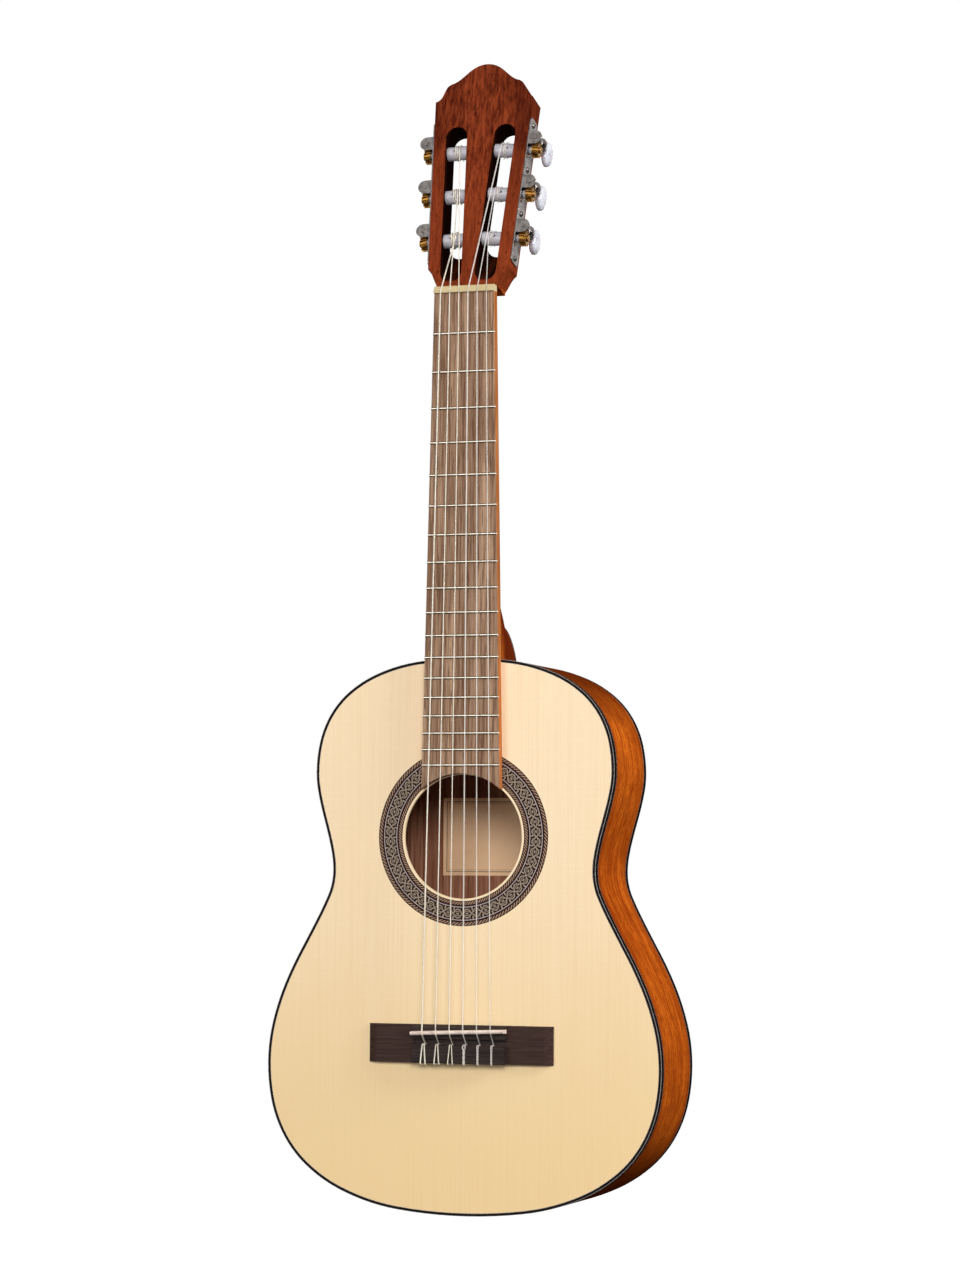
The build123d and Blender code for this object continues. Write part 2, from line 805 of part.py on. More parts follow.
def string_points(number):
    """Corners of a string's route from its tied end over saddle and nut to its roller, and their radii."""
    radius = string_diameters[number - 1] / 2
    x, crown_height, crown_z = crosses(number)
    on_block = -(tie_block_height + seat_gap + radius)
    behind = bridge_rear - tie_bend - seat_gap
    over = crown_radius + seat_gap + radius
    hole_z = groove_rear + tie_hole_lead
    run = Vector(crown_z - hole_z, crown_height - tie_hole_height, 0)
    rise = degrees(atan(run.Y / run.X)) + degrees(asin(over / run.length))
    saddle_corner_z = hole_z + (crown_height + over - tie_hole_height) / tan(radians(rise))
    nut_rise = nut_groove_floor + seat_gap + radius
    nut_point = Vector(string_x(number, nut_string_spread), -nut_rise, nut_break)
    route = [
        Vector(x + tie_loop_half_width + tie_loop_spread / 2, on_block, bridge_rear + 1),
        Vector(x + tie_loop_half_width, on_block, groove_rear - 2 * radius - tie_loop_half_width / 2),
        Vector(x - tie_loop_half_width, on_block, groove_rear - 2 * radius - tie_loop_half_width / 2),
        Vector(x - tie_loop_half_width - tie_loop_spread, on_block, behind),
        Vector(x, -tie_hole_height, behind),
        Vector(x, -tie_hole_height, hole_z),
        Vector(x, -crown_height - over, saddle_corner_z),
        nut_point,
    ]
    nut_corner = len(route) - 1
    wrap_radius = roller_radius + wrap_gap + radius
    lane = lane_plane(number)
    start = lane.to_local_coords(to_side(number, nut_point))
    distance = Vector(start.X, start.Y).length
    touch = degrees(atan2(start.Y, start.X)) - degrees(acos(wrap_radius / distance))
    corner_reach = wrap_radius / cos(radians(wrap_turn / 2))
    for corner in range(wrap_corners):
        angle = radians(touch - wrap_turn * (corner + 0.5))
        point = Vector(corner_reach * cos(angle), corner_reach * sin(angle), 0)
        route.append(to_side(number, lane.from_local_coords(point)))
    angle = radians(touch - wrap_turn * wrap_corners)
    point = Vector(wrap_radius * cos(angle), wrap_radius * sin(angle), 0)
    route.append(to_side(number, lane.from_local_coords(point)))
    radii = [0.94 * tie_loop_half_width] * 2 + [tie_bend] * 2 + [2 * tie_bend, over, nut_bend]
    return route, radii + [0.95 * wrap_radius] * wrap_corners, nut_corner


routes = {number: string_points(number) for number in range(1, 7)}

with BuildPart() as nut:
    with BuildSketch(Plane.YZ):
        with BuildLine():
            Polyline(
                (0, 0),
                (-nut_height, 0),
                (-nut_height, nut_break),
                (-nut_height + nut_rear_drop, nut_thickness),
                (0, nut_thickness),
                close=True,
            )
        make_face()
    extrude(amount=neck_width_at_nut / 2, both=True)
    for number in range(1, 7):
        radius = string_diameters[number - 1] / 2
        points, _, nut_corner = routes[number]
        bend = points[nut_corner]
        for neighbour in (points[nut_corner - 1], points[nut_corner + 1]):
            away = (neighbour - bend).normalized()
            across = (Vector(1, 0, 0) - away * away.X).normalized()
            groove = Plane(origin=bend - away, x_dir=across, z_dir=away)
            front = -1 if groove.y_dir.Y > 0 else 1
            with BuildSketch(groove):
                with Locations((0, -front * (radius + nut_groove_gap))):
                    Rectangle(
                        2 * radius + 2 * seat_gap,
                        nut_height,
                        align=(Align.CENTER, Align.MAX if front < 0 else Align.MIN),
                    )
            extrude(amount=2 * nut_thickness, mode=Mode.SUBTRACT)
nut.part.label = "nut"
export_step(nut.part, "parts/nut.step")

# ---------------------------------------------------------------- bridge and saddle
with BuildPart() as bridge:
    with BuildSketch(Plane.XY.offset(bridge_rear)):
        with BuildLine():
            Polyline(
                (-bridge_length / 2, 0),
                (-bridge_length / 2, -bridge_end_thickness),
                (-bridge_length / 2 + bridge_bevel, -bridge_wing_thickness),
                (bridge_length / 2 - bridge_bevel, -bridge_wing_thickness),
                (bridge_length / 2, -bridge_end_thickness),
                (bridge_length / 2, 0),
                close=True,
            )
        make_face()
    extrude(amount=bridge_front - bridge_rear)
    with BuildSketch(Plane.YZ):
        with BuildLine():
            Polyline(
                (0, bridge_front),
                (-bridge_wing_thickness, bridge_front),
                (-bed_height, bridge_front - bed_slope),
                (-bed_height, groove_front),
                (-tie_groove_floor, groove_front),
                (-tie_groove_floor, groove_rear),
                (-tie_block_height + tie_edge, groove_rear),
                (-tie_block_height, groove_rear - tie_edge),
                (-tie_block_height, bridge_rear + tie_edge),
                (-tie_block_height + tie_edge, bridge_rear),
                (0, bridge_rear),
                close=True,
            )
        make_face()
    extrude(amount=bridge_centre_length / 2, both=True)
    with BuildSketch(board_plane(-tie_groove_floor)):
        with Locations((0, (groove_front + groove_rear) / 2)):
            Rectangle(bridge_centre_length, tie_groove_width)
    extrude(amount=bridge_wing_thickness, mode=Mode.SUBTRACT)
    with BuildSketch(board_plane(saddle_slot_depth - bed_height)):
        with Locations((0, saddle_z)):
            Rectangle(saddle_length, saddle_thickness, rotation=saddle_angle)
    extrude(amount=far, mode=Mode.SUBTRACT)
    with BuildSketch(Plane.XY.offset(groove_rear)):
        for number in range(1, 7):
            with Locations((string_x(number, saddle_string_spread), -tie_hole_height)):
                Circle(tie_hole_diameter / 2)
    extrude(amount=-tie_block_width, mode=Mode.SUBTRACT)
bridge.part.label = "bridge"
export_step(bridge.part, "parts/bridge.step")

saddle_axis = Vector(cos(radians(saddle_angle)), 0, sin(radians(saddle_angle)))
saddle_foot = bed_height - saddle_slot_depth
with BuildPart() as saddle:
    with BuildSketch(Plane(origin=(0, 0, saddle_z), x_dir=(0, -1, 0), z_dir=saddle_axis)):
        with Locations((saddle_foot, 0)):
            Rectangle(
                saddle_height - crown_radius - saddle_foot,
                saddle_thickness,
                align=(Align.MIN, Align.CENTER),
            )
        with Locations((saddle_height - crown_radius, 0)):
            Circle(crown_radius)
    extrude(amount=saddle_length / 2, both=True)
saddle.part.label = "saddle"
export_step(saddle.part, "parts/saddle.step")

# ---------------------------------------------------------------- strings
for number, (points, radii, _) in routes.items():
    with BuildPart() as string:
        with BuildLine() as route:
            FilletPolyline(*points, radius=radii)
        with BuildSketch(Plane(origin=route.line @ 0, z_dir=route.line % 0)):
            Circle(string_diameters[number - 1] / 2)
        sweep()
    string.part.label = f"string_{number}"
    export_step(string.part, f"parts/string_{number}.step")
    length = sum(edge.length for edge in route.edges())
    filled = string.part.volume / (pi * string_diameters[number - 1] ** 2 / 4 * length)
    print(f"string_{number}: length {length:.1f}, volume over section times length {filled:.4f}")

# ---------------------------------------------------------------- machine heads
with BuildPart() as worm:
    Cylinder(worm_root_radius, plate_width - 2 * ear_thickness - 2 * end_float)
    half_tip = (thread_pitch / 2 - 2 * gear_module * flank) / 2 - gear_backlash / 2
    half_root = half_tip + (worm_diameter / 2 - worm_root_radius) * flank
    sunk = 0.5
    with BuildLine():
        thread = Helix(
            thread_pitch,
            thread_pitch * worm_turns,
            worm_root_radius,
            center=(0, 0, -thread_pitch * worm_turns / 2),
        )
    with BuildSketch(Plane(origin=thread @ 0, x_dir=(1, 0, 0), z_dir=thread % 0)):
        with BuildLine():
            Polyline(
                (-sunk, -half_root - sunk * flank),
                (worm_diameter / 2 - worm_root_radius, -half_tip),
                (worm_diameter / 2 - worm_root_radius, half_tip),
                (-sunk, half_root + sunk * flank),
                close=True,
            )
        make_face()
    sweep(path=thread, is_frenet=True)


def tooth_gap(radius):
    """Half width of the gap between two gear teeth at a radius."""
    return (thread_pitch / 2 + gear_backlash) / 2 + (radius - gear_pitch_radius) * flank


# The gear turns about x here, with the worm standing along z on its +y side
gear_phase = 360 / gear_teeth / 4
with BuildPart() as gear:
    with BuildSketch(Plane.YZ.offset(-gear_width / 2)):
        Circle(gear_tip_radius)
        Rectangle(square_size, square_size, rotation=45, mode=Mode.SUBTRACT)
    extrude(amount=gear_width)
    cut_radius = gear_tip_radius + end_float
    for tooth in range(gear_teeth):
        angle = radians(360 / gear_teeth * (tooth + 0.5) + gear_phase)
        spoke = Vector(0, cos(angle), sin(angle))
        slant = Vector(1, 0, 0).rotate(Axis((0, 0, 0), spoke), -lead_angle)
        with BuildSketch(Plane(origin=slant * -gear_width, x_dir=spoke, z_dir=slant)):
            with BuildLine():
                Polyline(
                    (gear_root_radius, -tooth_gap(gear_root_radius)),
                    (cut_radius, -tooth_gap(cut_radius)),
                    (cut_radius, tooth_gap(cut_radius)),
                    (gear_root_radius, tooth_gap(gear_root_radius)),
                    close=True,
                )
            make_face()
        extrude(amount=2 * gear_width, mode=Mode.SUBTRACT)


# Pieces of one machine head in its post's own frame: x runs up the side, y to the player and z outwards
hole_out = slot_inner + string_lane + string_hole_offset
with BuildPart() as roller:
    with BuildSketch(Plane.XY.offset(slot_inner - journal_length)):
        Circle(journal_diameter / 2)
    extrude(amount=journal_length + end_float)
    with BuildSketch(Plane.XY.offset(slot_inner + end_float)):
        Circle(roller_radius)
    extrude(amount=-slot_inner - 2 * end_float)
    with BuildSketch(Plane.XY.offset(-end_float)):
        Circle(journal_diameter / 2)
    extrude(amount=gear_inner + end_float)
    with BuildSketch(Plane.XY.offset(gear_inner)):
        Rectangle(square_size, square_size, rotation=45)
    extrude(amount=gear_width)
    with BuildSketch(Plane.XZ.offset(-roller_radius)):
        with Locations((0, hole_out)):
            Circle(roller_hole_diameter / 2)
    extrude(amount=roller_diameter, mode=Mode.SUBTRACT)
    with BuildSketch(Plane.XY.offset(gear_inner + gear_width)):
        Circle(screw_diameter / 2 + seat_gap)
    extrude(amount=-gear_screw_length - cut_margin, mode=Mode.SUBTRACT)

gear_screw_seat = gear_inner + gear_width + seat_gap
with BuildPart() as gear_screw:
    with BuildSketch(Plane.XY.offset(gear_screw_seat)):
        Circle(screw_head_diameter / 2)
    extrude(amount=gear_screw_head)
    with BuildSketch(Plane.XY.offset(gear_screw_seat)):
        Circle(screw_diameter / 2)
    extrude(amount=-gear_screw_length)
    with BuildSketch(Plane.XY.offset(gear_screw_seat + gear_screw_head)):
        Rectangle(far, slot_cut)
    extrude(amount=-gear_screw_head / 2, mode=Mode.SUBTRACT)

# The key in its own frame: z is its axis and points to the player, y runs up the side, and x out of the side
with BuildPart() as key:
    add(worm.part)
    with BuildSketch(Plane.XY.offset(plate_width / 2 + key_end)):
        Circle(key_diameter / 2)
    extrude(amount=-(plate_width / 2 + key_end + button_reach - button_length / 2 + button_bore_depth))
    with BuildSketch(Plane.XY.offset(-plate_width / 2 - end_float)):
        Circle(ferrule_diameter / 2)
    extrude(amount=-ferrule_length)

with BuildPart() as button:
    with BuildSketch(Plane.YZ.offset(-button_thickness / 2)):
        with Locations((0, -button_reach)):
            Ellipse(button_width / 2, button_length / 2)
    extrude(amount=button_thickness)
    fillet(button.edges(), button_edge)
    with BuildSketch(Plane.XY.offset(-button_reach + button_length / 2 + 1)):
        Circle(key_diameter / 2 + seat_gap)
    extrude(amount=-button_bore_depth - 1 - seat_gap, mode=Mode.SUBTRACT)


def winding_part(diameter):
    """A string's turns round its roller and its end in the hole, in a frame turned half way about z."""
    reach = roller_radius + seat_gap + diameter / 2
    start = slot_inner + string_lane + diameter + lane_gap
    rise = hole_out - start
    with BuildPart() as turns:
        with BuildLine() as route:
            coil = Helix(
                rise / winding_turns,
                rise * (1 - elbow_turn / 360 / winding_turns),
                reach,
                center=(0, 0, start),
                lefthand=True,
            )
            leaving = coil % 1
            lead = (coil @ 1).X / -leaving.X
            over_hole = coil @ 1 + leaving * lead
            inside = over_hole - Vector(0, lead, 0)
            TangentArc(coil @ 1, inside, tangent=leaving)
            Line(inside, (0, 1 - roller_radius, inside.Z))
        with BuildSketch(Plane(origin=coil @ 0, x_dir=(1, 0, 0), z_dir=coil % 0)):
            Circle(diameter / 2)
        sweep(path=route.line)
    return turns.part


def place_on(name, shape, frame, mirror_it):
    """Write a node from a piece's own frame to the headstock, on the treble side or the bass side."""
    with BuildPart() as placed:
        with Locations(frame.location):
            add(shape)
        if mirror_it:
            mirror(about=Plane.YZ, mode=Mode.REPLACE)
    placed.part.label = name
    export_step(placed.part, f"parts/{name}.step")
    return placed.part


for number in range(1, 7):
    on_bass = number > 3
    up = post_heights[post_of(number)]
    post = post_plane(up)
    post_back = Plane(origin=post.origin, x_dir=post.x_dir * -1, z_dir=post.z_dir)
    gear_frame = Plane(origin=side_point(worm_offset, up, post_depth), x_dir=outward, z_dir=rearward * -1)
    place_on(f"roller_{number}", roller.part, post, on_bass)
    place_on(f"string_winding_{number}", winding_part(string_diameters[number - 1]), post_back, on_bass)
    place_on(f"key_shaft_{number}", key.part, key_plane(up), on_bass)
    place_on(f"button_{number}", button.part, key_plane(up), on_bass)
    with BuildPart() as cog:
        with Locations(gear_frame.location):
            add(gear.part)
        with Locations(post.location):
            add(gear_screw.part)
        if on_bass:
            mirror(about=Plane.YZ, mode=Mode.REPLACE)
    cog.part.label = f"cog_{number}"
    export_step(cog.part, f"parts/cog_{number}.step")

# A plate lies on each side of the headstock and carries the keys in its ears
plate_top = screw_heights[-1] + plate_end_margin
plate_foot = screw_heights[0] - plate_end_margin
with BuildPart() as tuner_plate_treble:
    with BuildSketch(post_plane((plate_top + plate_foot) / 2)):
        RectangleRounded(plate_top - plate_foot, plate_width, plate_corner)
    extrude(amount=plate_thickness)
    for up in post_heights:
        key_frame = key_plane(up)
        for ear_front in (plate_width / 2, -plate_width / 2 + ear_thickness):
            with BuildSketch(key_frame.offset(ear_front)):
                with Locations((-worm_offset, 0)):
                    Rectangle(worm_offset, 2 * ear_rim, align=(Align.MIN, Align.CENTER))
                Circle(ear_rim)
            extrude(amount=-ear_thickness)
        with BuildSketch(key_frame.offset(plate_width)):
            Circle(key_diameter / 2 + running_gap)
        extrude(amount=-2 * plate_width, mode=Mode.SUBTRACT)
        with BuildSketch(post_plane(up)):
            Circle(journal_diameter / 2 + running_gap)
        extrude(amount=plate_thickness, mode=Mode.SUBTRACT)
    for up in screw_heights:
        with BuildSketch(post_plane(up)):
            Circle(screw_diameter / 2 + seat_gap)
        extrude(amount=plate_thickness, mode=Mode.SUBTRACT)
tuner_plate_treble.part.label = "tuner_plate_treble"
export_step(tuner_plate_treble.part, "parts/tuner_plate_treble.step")

with BuildPart() as tuner_plate_bass:
    add(tuner_plate_treble.part)
    mirror(about=Plane.YZ, mode=Mode.REPLACE)
tuner_plate_bass.part.label = "tuner_plate_bass"
export_step(tuner_plate_bass.part, "parts/tuner_plate_bass.step")

head_bulge = (screw_head_diameter**2 / 4 + screw_head_height**2) / (2 * screw_head_height)
with BuildPart() as plate_screw:
    with BuildSketch(Plane.XZ):
        with BuildLine():
            Polyline(
                (screw_head_diameter / 2, plate_thickness),
                (screw_diameter / 2, plate_thickness),
                (screw_diameter / 2, plate_thickness - screw_length + 2 * screw_diameter),
                (0, plate_thickness - screw_length),
                (0, plate_thickness + screw_head_height),
            )
            RadiusArc(
                (0, plate_thickness + screw_head_height),
                (screw_head_diameter / 2, plate_thickness),
                head_bulge,
            )
        make_face()
    revolve(axis=Axis.Z)
    with BuildSketch(Plane.XY.offset(plate_thickness + screw_head_height)):
        Rectangle(far, slot_cut)
        Rectangle(slot_cut, far)
    extrude(amount=-screw_head_height / 2, mode=Mode.SUBTRACT)

with BuildPart() as plate_screws:
    with Locations(*[post_plane(up).location for up in screw_heights]):
        add(plate_screw.part)
    mirror(about=Plane.YZ)
plate_screws.part.label = "plate_screws"
export_step(plate_screws.part, "parts/plate_screws.step")
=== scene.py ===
import json
import math

import bpy
from mathutils import Matrix, Vector


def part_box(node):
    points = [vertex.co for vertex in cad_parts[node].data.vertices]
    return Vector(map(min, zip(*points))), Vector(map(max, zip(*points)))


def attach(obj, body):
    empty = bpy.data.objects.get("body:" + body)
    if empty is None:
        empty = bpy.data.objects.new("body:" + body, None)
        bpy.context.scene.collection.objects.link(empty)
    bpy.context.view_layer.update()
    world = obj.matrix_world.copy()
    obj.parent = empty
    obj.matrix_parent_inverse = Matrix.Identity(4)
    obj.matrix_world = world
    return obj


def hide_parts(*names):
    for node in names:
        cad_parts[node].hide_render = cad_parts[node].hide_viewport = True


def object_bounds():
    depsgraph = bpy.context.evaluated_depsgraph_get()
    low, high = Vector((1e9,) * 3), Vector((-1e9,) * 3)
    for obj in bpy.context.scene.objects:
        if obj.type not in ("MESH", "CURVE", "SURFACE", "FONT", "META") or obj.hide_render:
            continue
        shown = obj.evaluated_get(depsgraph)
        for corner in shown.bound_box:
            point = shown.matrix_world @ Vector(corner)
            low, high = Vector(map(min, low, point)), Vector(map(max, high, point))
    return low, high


# A small classical guitar. Metres, in the model's own frame:
# +Z up the neck, -Y towards the player, +X to the treble side.
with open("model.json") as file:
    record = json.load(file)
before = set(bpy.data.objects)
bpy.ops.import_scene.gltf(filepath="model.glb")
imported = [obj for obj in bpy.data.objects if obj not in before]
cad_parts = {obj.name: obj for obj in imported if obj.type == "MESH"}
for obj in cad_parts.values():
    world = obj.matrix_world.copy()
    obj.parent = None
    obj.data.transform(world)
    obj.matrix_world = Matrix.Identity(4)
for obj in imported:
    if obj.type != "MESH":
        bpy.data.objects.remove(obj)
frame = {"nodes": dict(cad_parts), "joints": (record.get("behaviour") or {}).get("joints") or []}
cad_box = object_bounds()
nodes = frame["nodes"]
MM = 0.001

# ---------------------------------------------------------------- sizes not in the frame's boxes
string_diameters = [0.71 * MM, 0.82 * MM, 1.02 * MM, 0.74 * MM, 0.86 * MM, 1.09 * MM]
nut_string_spread = 35.2 * MM
nut_groove_floor = 7.95 * MM
nut_break = 1.2 * MM
nut_bend = 4.0 * MM
saddle_string_spread = 52.0 * MM
saddle_slope = 2.4 / 71.0
saddle_crown = 1.4 * MM
saddle_bend = 2.4 * MM
rosette_inner = 46.6 * MM
rosette_outer = 64.8 * MM

# The tie block, and the twists of the ties of the clear strings 1 to 3
tie_block_width = 13.0 * MM
tie_hole_height = 4.6 * MM
tie_hole_lead = 1.0 * MM
twist_turns = {1: 2.6, 2: 2.6, 3: 1.6}
twist_opening = {1: 0.3, 2: 0.3, 3: 0.9}
twist_steps_per_turn = 14

# Rollers. Places along one are measured outwards from its joint's origin.
roller_radius = 5.25 * MM
string_lane = -19.9 * MM
roller_hole = -15.6 * MM
first_wrap = math.radians(240)
winding_turns = 1.75
elbow = math.radians(14)

# Gaps between a string and what it touches or passes
seat_gap = 0.05 * MM
wrap_gap = 0.3 * MM
lane_gap = 0.9 * MM

soundhole = sum(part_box("rosette"), Vector()) / 2
bridge_low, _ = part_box("bridge")
saddle_low, saddle_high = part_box("saddle")
label_low, label_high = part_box("label")


# ---------------------------------------------------------------- building materials
def linear(value):
    """The linear strength of one part of a screen colour, 0 to 255."""
    return ((value / 255 + 0.055) / 1.055) ** 2.4 if value > 10 else value / 255 / 12.92


def paint(red, green, blue):
    """A screen colour as the linear colour that renders as it."""
    return (linear(red), linear(green), linear(blue), 1.0)


class Finish:
    """A node material in the making. Its places are the object's own coordinates, in metres."""

    def __init__(self, name, colour, rough, **fixed):
        self.material = bpy.data.materials.new(name)
        self.material.use_nodes = True
        self.tree = self.material.node_tree
        self.shader = self.tree.nodes["Principled BSDF"]
        self.shader.inputs["Base Color"].default_value = paint(*colour)
        self.shader.inputs["Roughness"].default_value = rough
        for socket, value in fixed.items():
            self.shader.inputs[socket.replace("_", " ")].default_value = value
        self.place = self.tree.nodes.new("ShaderNodeTexCoord").outputs["Object"]

    def node(self, kind, *inputs, out=0, **settings):
        """Adds a node. Each input in order is a socket to link, a value to set, or None."""
        made = self.tree.nodes.new("ShaderNode" + kind)
        for key, value in settings.items():
            setattr(made, key, value)
        for place, value in enumerate(inputs):
            if isinstance(value, bpy.types.NodeSocket):
                self.tree.links.new(value, made.inputs[place])
            elif value is not None:
                made.inputs[place].default_value = value
        return made.outputs[out]

    def math(self, operation, *values):
        return self.node("Math", *values, operation=operation)

    def plus(self, first, second):
        return self.math("ADD", first, second)

    def minus(self, first, second):
        return self.math("SUBTRACT", first, second)

    def times(self, first, second):
        return self.math("MULTIPLY", first, second)

    def over(self, first, second):
        return self.math("DIVIDE", first, second)

    def larger(self, first, second):
        return self.math("MAXIMUM", first, second)

    def smaller(self, first, second):
        return self.math("MINIMUM", first, second)

    def absolute(self, value):
        return self.math("ABSOLUTE", value)

    def sine(self, value):
        return self.math("SINE", value)

    def noise(self, rates, detail, rough, place=None):
        """Noise with about so many cycles a metre along X, Y and Z."""
        stretched = self.node("VectorMath", place or self.place, rates, operation="MULTIPLY")
        made = self.node("TexNoise", stretched, noise_dimensions="3D")
        made.node.inputs["Scale"].default_value = 1.0
        made.node.inputs["Detail"].default_value = detail
        made.node.inputs["Roughness"].default_value = rough
        return made

    def ramp(self, value, low, high, start=0.0, end=1.0):
        """A smooth step of a value from low to high, running from start to end."""
        return self.node("MapRange", value, low, high, start, end, interpolation_type="SMOOTHSTEP")

    def mix(self, share, first, second):
        """A mix of two colours, each of them a node's output or a screen colour."""
        made = self.node("Mix", data_type="RGBA", blend_type="MIX", clamp_factor=True, out=2)
        self.tree.links.new(share, made.node.inputs[0])
        for socket, colour in ((6, first), (7, second)):
            if isinstance(colour, bpy.types.NodeSocket):
                self.tree.links.new(colour, made.node.inputs[socket])
            else:
                made.node.inputs[socket].default_value = paint(*colour)
        return made

    def axes(self):
        """The place along X, Y and Z."""
        return self.node("SeparateXYZ", self.place).node.outputs

    def facing(self):
        """How far the surface faces along X, Y and Z."""
        return self.node("SeparateXYZ", self.node("TexCoord", out=1)).node.outputs

    def use(self, socket, value):
        self.tree.links.new(value, self.shader.inputs[socket])

    def relief(self, height, depth, edge_radius=0.0):
        """Bumps of a depth, over edges that look rounded to a radius."""
        edge = self.node("Bevel", edge_radius, samples=4) if edge_radius else None
        self.use("Normal", self.node("Bump", 1.0, depth, None, height, edge))

    def grain_relief(self, streaks, pores, depth, edge_radius=0.0):
        """The relief of wood: low streaks with open pores sunk in them."""
        self.relief(self.minus(self.times(streaks, 0.5), pores), depth, edge_radius)


# ---------------------------------------------------------------- the object's finishes
def spruce_top():
    """Two matched halves of fine straight grain, yellower at the tail, with faint cross silk."""
    finish = Finish("spruce_top", (246, 220, 180), 0.42, Specular_IOR_Level=0.2)
    year_rings_per_metre, wander_in_rings = 720.0, 11.0
    x, y, z = finish.axes()
    half = finish.absolute(x)
    matched = finish.node("CombineXYZ", half, y, z)
    wander = finish.noise((18.0, 0.0, 4.0), 2.0, 0.5, matched)
    rings = finish.times(half, year_rings_per_metre)
    line = finish.math("FRACT", finish.plus(rings, finish.times(wander, wander_in_rings)))
    late_wood = finish.times(finish.ramp(line, 0.45, 0.95), finish.ramp(line, 1.0, 0.96))
    streaks = finish.noise((520.0, 30.0, 5.0), 4.0, 0.6, matched)
    silk = finish.noise((60.0, 10.0, 420.0), 3.0, 0.55, matched)
    clouds = finish.noise((9.0, 9.0, 5.0), 2.0, 0.5)
    colour = finish.mix(finish.times(late_wood, 0.34), (252, 228, 192), (232, 198, 148))
    colour = finish.mix(finish.ramp(streaks, 0.40, 0.70, 0.0, 0.30), colour, (236, 202, 150))
    colour = finish.mix(finish.ramp(silk, 0.50, 0.72, 0.0, 0.22), colour, (255, 238, 208))
    towards_tail = finish.ramp(z, -360.0 * MM, -660.0 * MM, 0.0, 0.65)
    colour = finish.mix(towards_tail, colour, (243, 207, 142))
    colour = finish.mix(finish.ramp(clouds, 0.42, 0.62, 0.0, 0.18), colour, (243, 208, 156))
    seam = finish.math("LESS_THAN", half, 0.12 * MM)
    colour = finish.mix(finish.times(seam, 0.4), colour, (214, 176, 124))
    finish.use("Base Color", colour)
    finish.relief(finish.plus(late_wood, streaks), 0.006 * MM)
    return finish.material


def rosette_inlay():
    """Outwards: a rope, a light line, a wide dark band of crossing waves, a line and a rope."""
    finish = Finish("rosette_inlay", (90, 76, 66), 0.4, Specular_IOR_Level=0.0)
    ornament_middle, medallions = 0.505, 48
    rope_strands, rope_slant = 152.0, 9.0
    x, _, z = finish.axes()
    high = finish.minus(z, soundhole.z)
    radius = finish.math("SQRT", finish.plus(finish.times(x, x), finish.times(high, high)))
    share = finish.over(finish.minus(radius, rosette_inner), rosette_outer - rosette_inner)
    turn = finish.over(finish.math("ARCTAN2", high, x), 2 * math.pi)
    across = finish.minus(share, ornament_middle)
    from_middle = finish.absolute(across)
    specks = finish.noise((1500.0, 1500.0, 1500.0), 2.0, 0.6)

    def band(inner, outer, edge):
        """One inside a band of the inlay, nought outside it."""
        rise = finish.ramp(share, inner - edge, inner + edge)
        fall = finish.ramp(share, outer - edge, outer + edge, 1.0, 0.0)
        return finish.times(rise, fall)

    def two_bands(first, second, edge=0.008):
        return finish.larger(band(*first, edge), band(*second, edge))

    def wave(phase, half_height):
        """Distance across the wide band from a wave that runs round it."""
        angle = finish.math("MULTIPLY_ADD", turn, math.pi * medallions, phase)
        crest = finish.times(finish.sine(angle), half_height)
        return finish.absolute(finish.minus(across, crest))

    def crossing_waves(half_height, line, edge, strength):
        """The lines of two waves that cross, with a medallion between every two crossings."""
        nearest = finish.smaller(wave(0.0, half_height), wave(math.pi, half_height))
        return finish.ramp(nearest, line, edge, strength, 0.0)

    # Each medallion has a smaller one and an eye in it, and leaves run along both rims
    large_medallions = crossing_waves(0.17, 0.016, 0.034, 1.0)
    small_medallions = crossing_waves(0.085, 0.010, 0.024, 0.8)
    lace = finish.larger(large_medallions, small_medallions)
    bulge = finish.absolute(finish.sine(finish.times(turn, math.pi * medallions)))
    near_middle = finish.ramp(from_middle, 0.02, 0.04, 1.0, 0.0)
    eyes = finish.times(near_middle, finish.ramp(bulge, 0.86, 0.96))
    curls = finish.sine(finish.times(turn, 6 * math.pi * medallions))
    leaves = finish.times(finish.ramp(curls, 0.0, 0.5), finish.ramp(bulge, 0.75, 0.45))
    leaves = finish.times(leaves, finish.ramp(from_middle, 0.10, 0.13))
    lace = finish.larger(lace, finish.larger(leaves, eyes))
    lace = finish.times(lace, finish.ramp(specks, 0.35, 0.6, 0.5, 1.0))
    colour = finish.mix(lace, (34, 24, 23), (180, 161, 142))
    colour = finish.mix(two_bands((0.20, 0.27), (0.74, 0.80)), colour, (30, 23, 23))

    strand = finish.math("MULTIPLY_ADD", turn, rope_strands, finish.times(share, rope_slant))
    rope = finish.ramp(finish.math("PINGPONG", strand, 0.5), 0.22, 0.36)
    rope = finish.times(rope, finish.ramp(specks, 0.3, 0.6, 0.3, 1.0))
    rope_colour = finish.mix(rope, (60, 38, 34), (196, 162, 136))
    colour = finish.mix(two_bands((-0.1, 0.20), (0.80, 1.1)), colour, (44, 32, 29))
    colour = finish.mix(two_bands((0.035, 0.155), (0.850, 0.965)), colour, rope_colour)
    colour = finish.mix(two_bands((0.228, 0.260), (0.746, 0.778), 0.004), colour, (186, 168, 164))
    finish.use("Base Color", colour)
    finish.relief(specks, 0.004 * MM)
    return finish.material


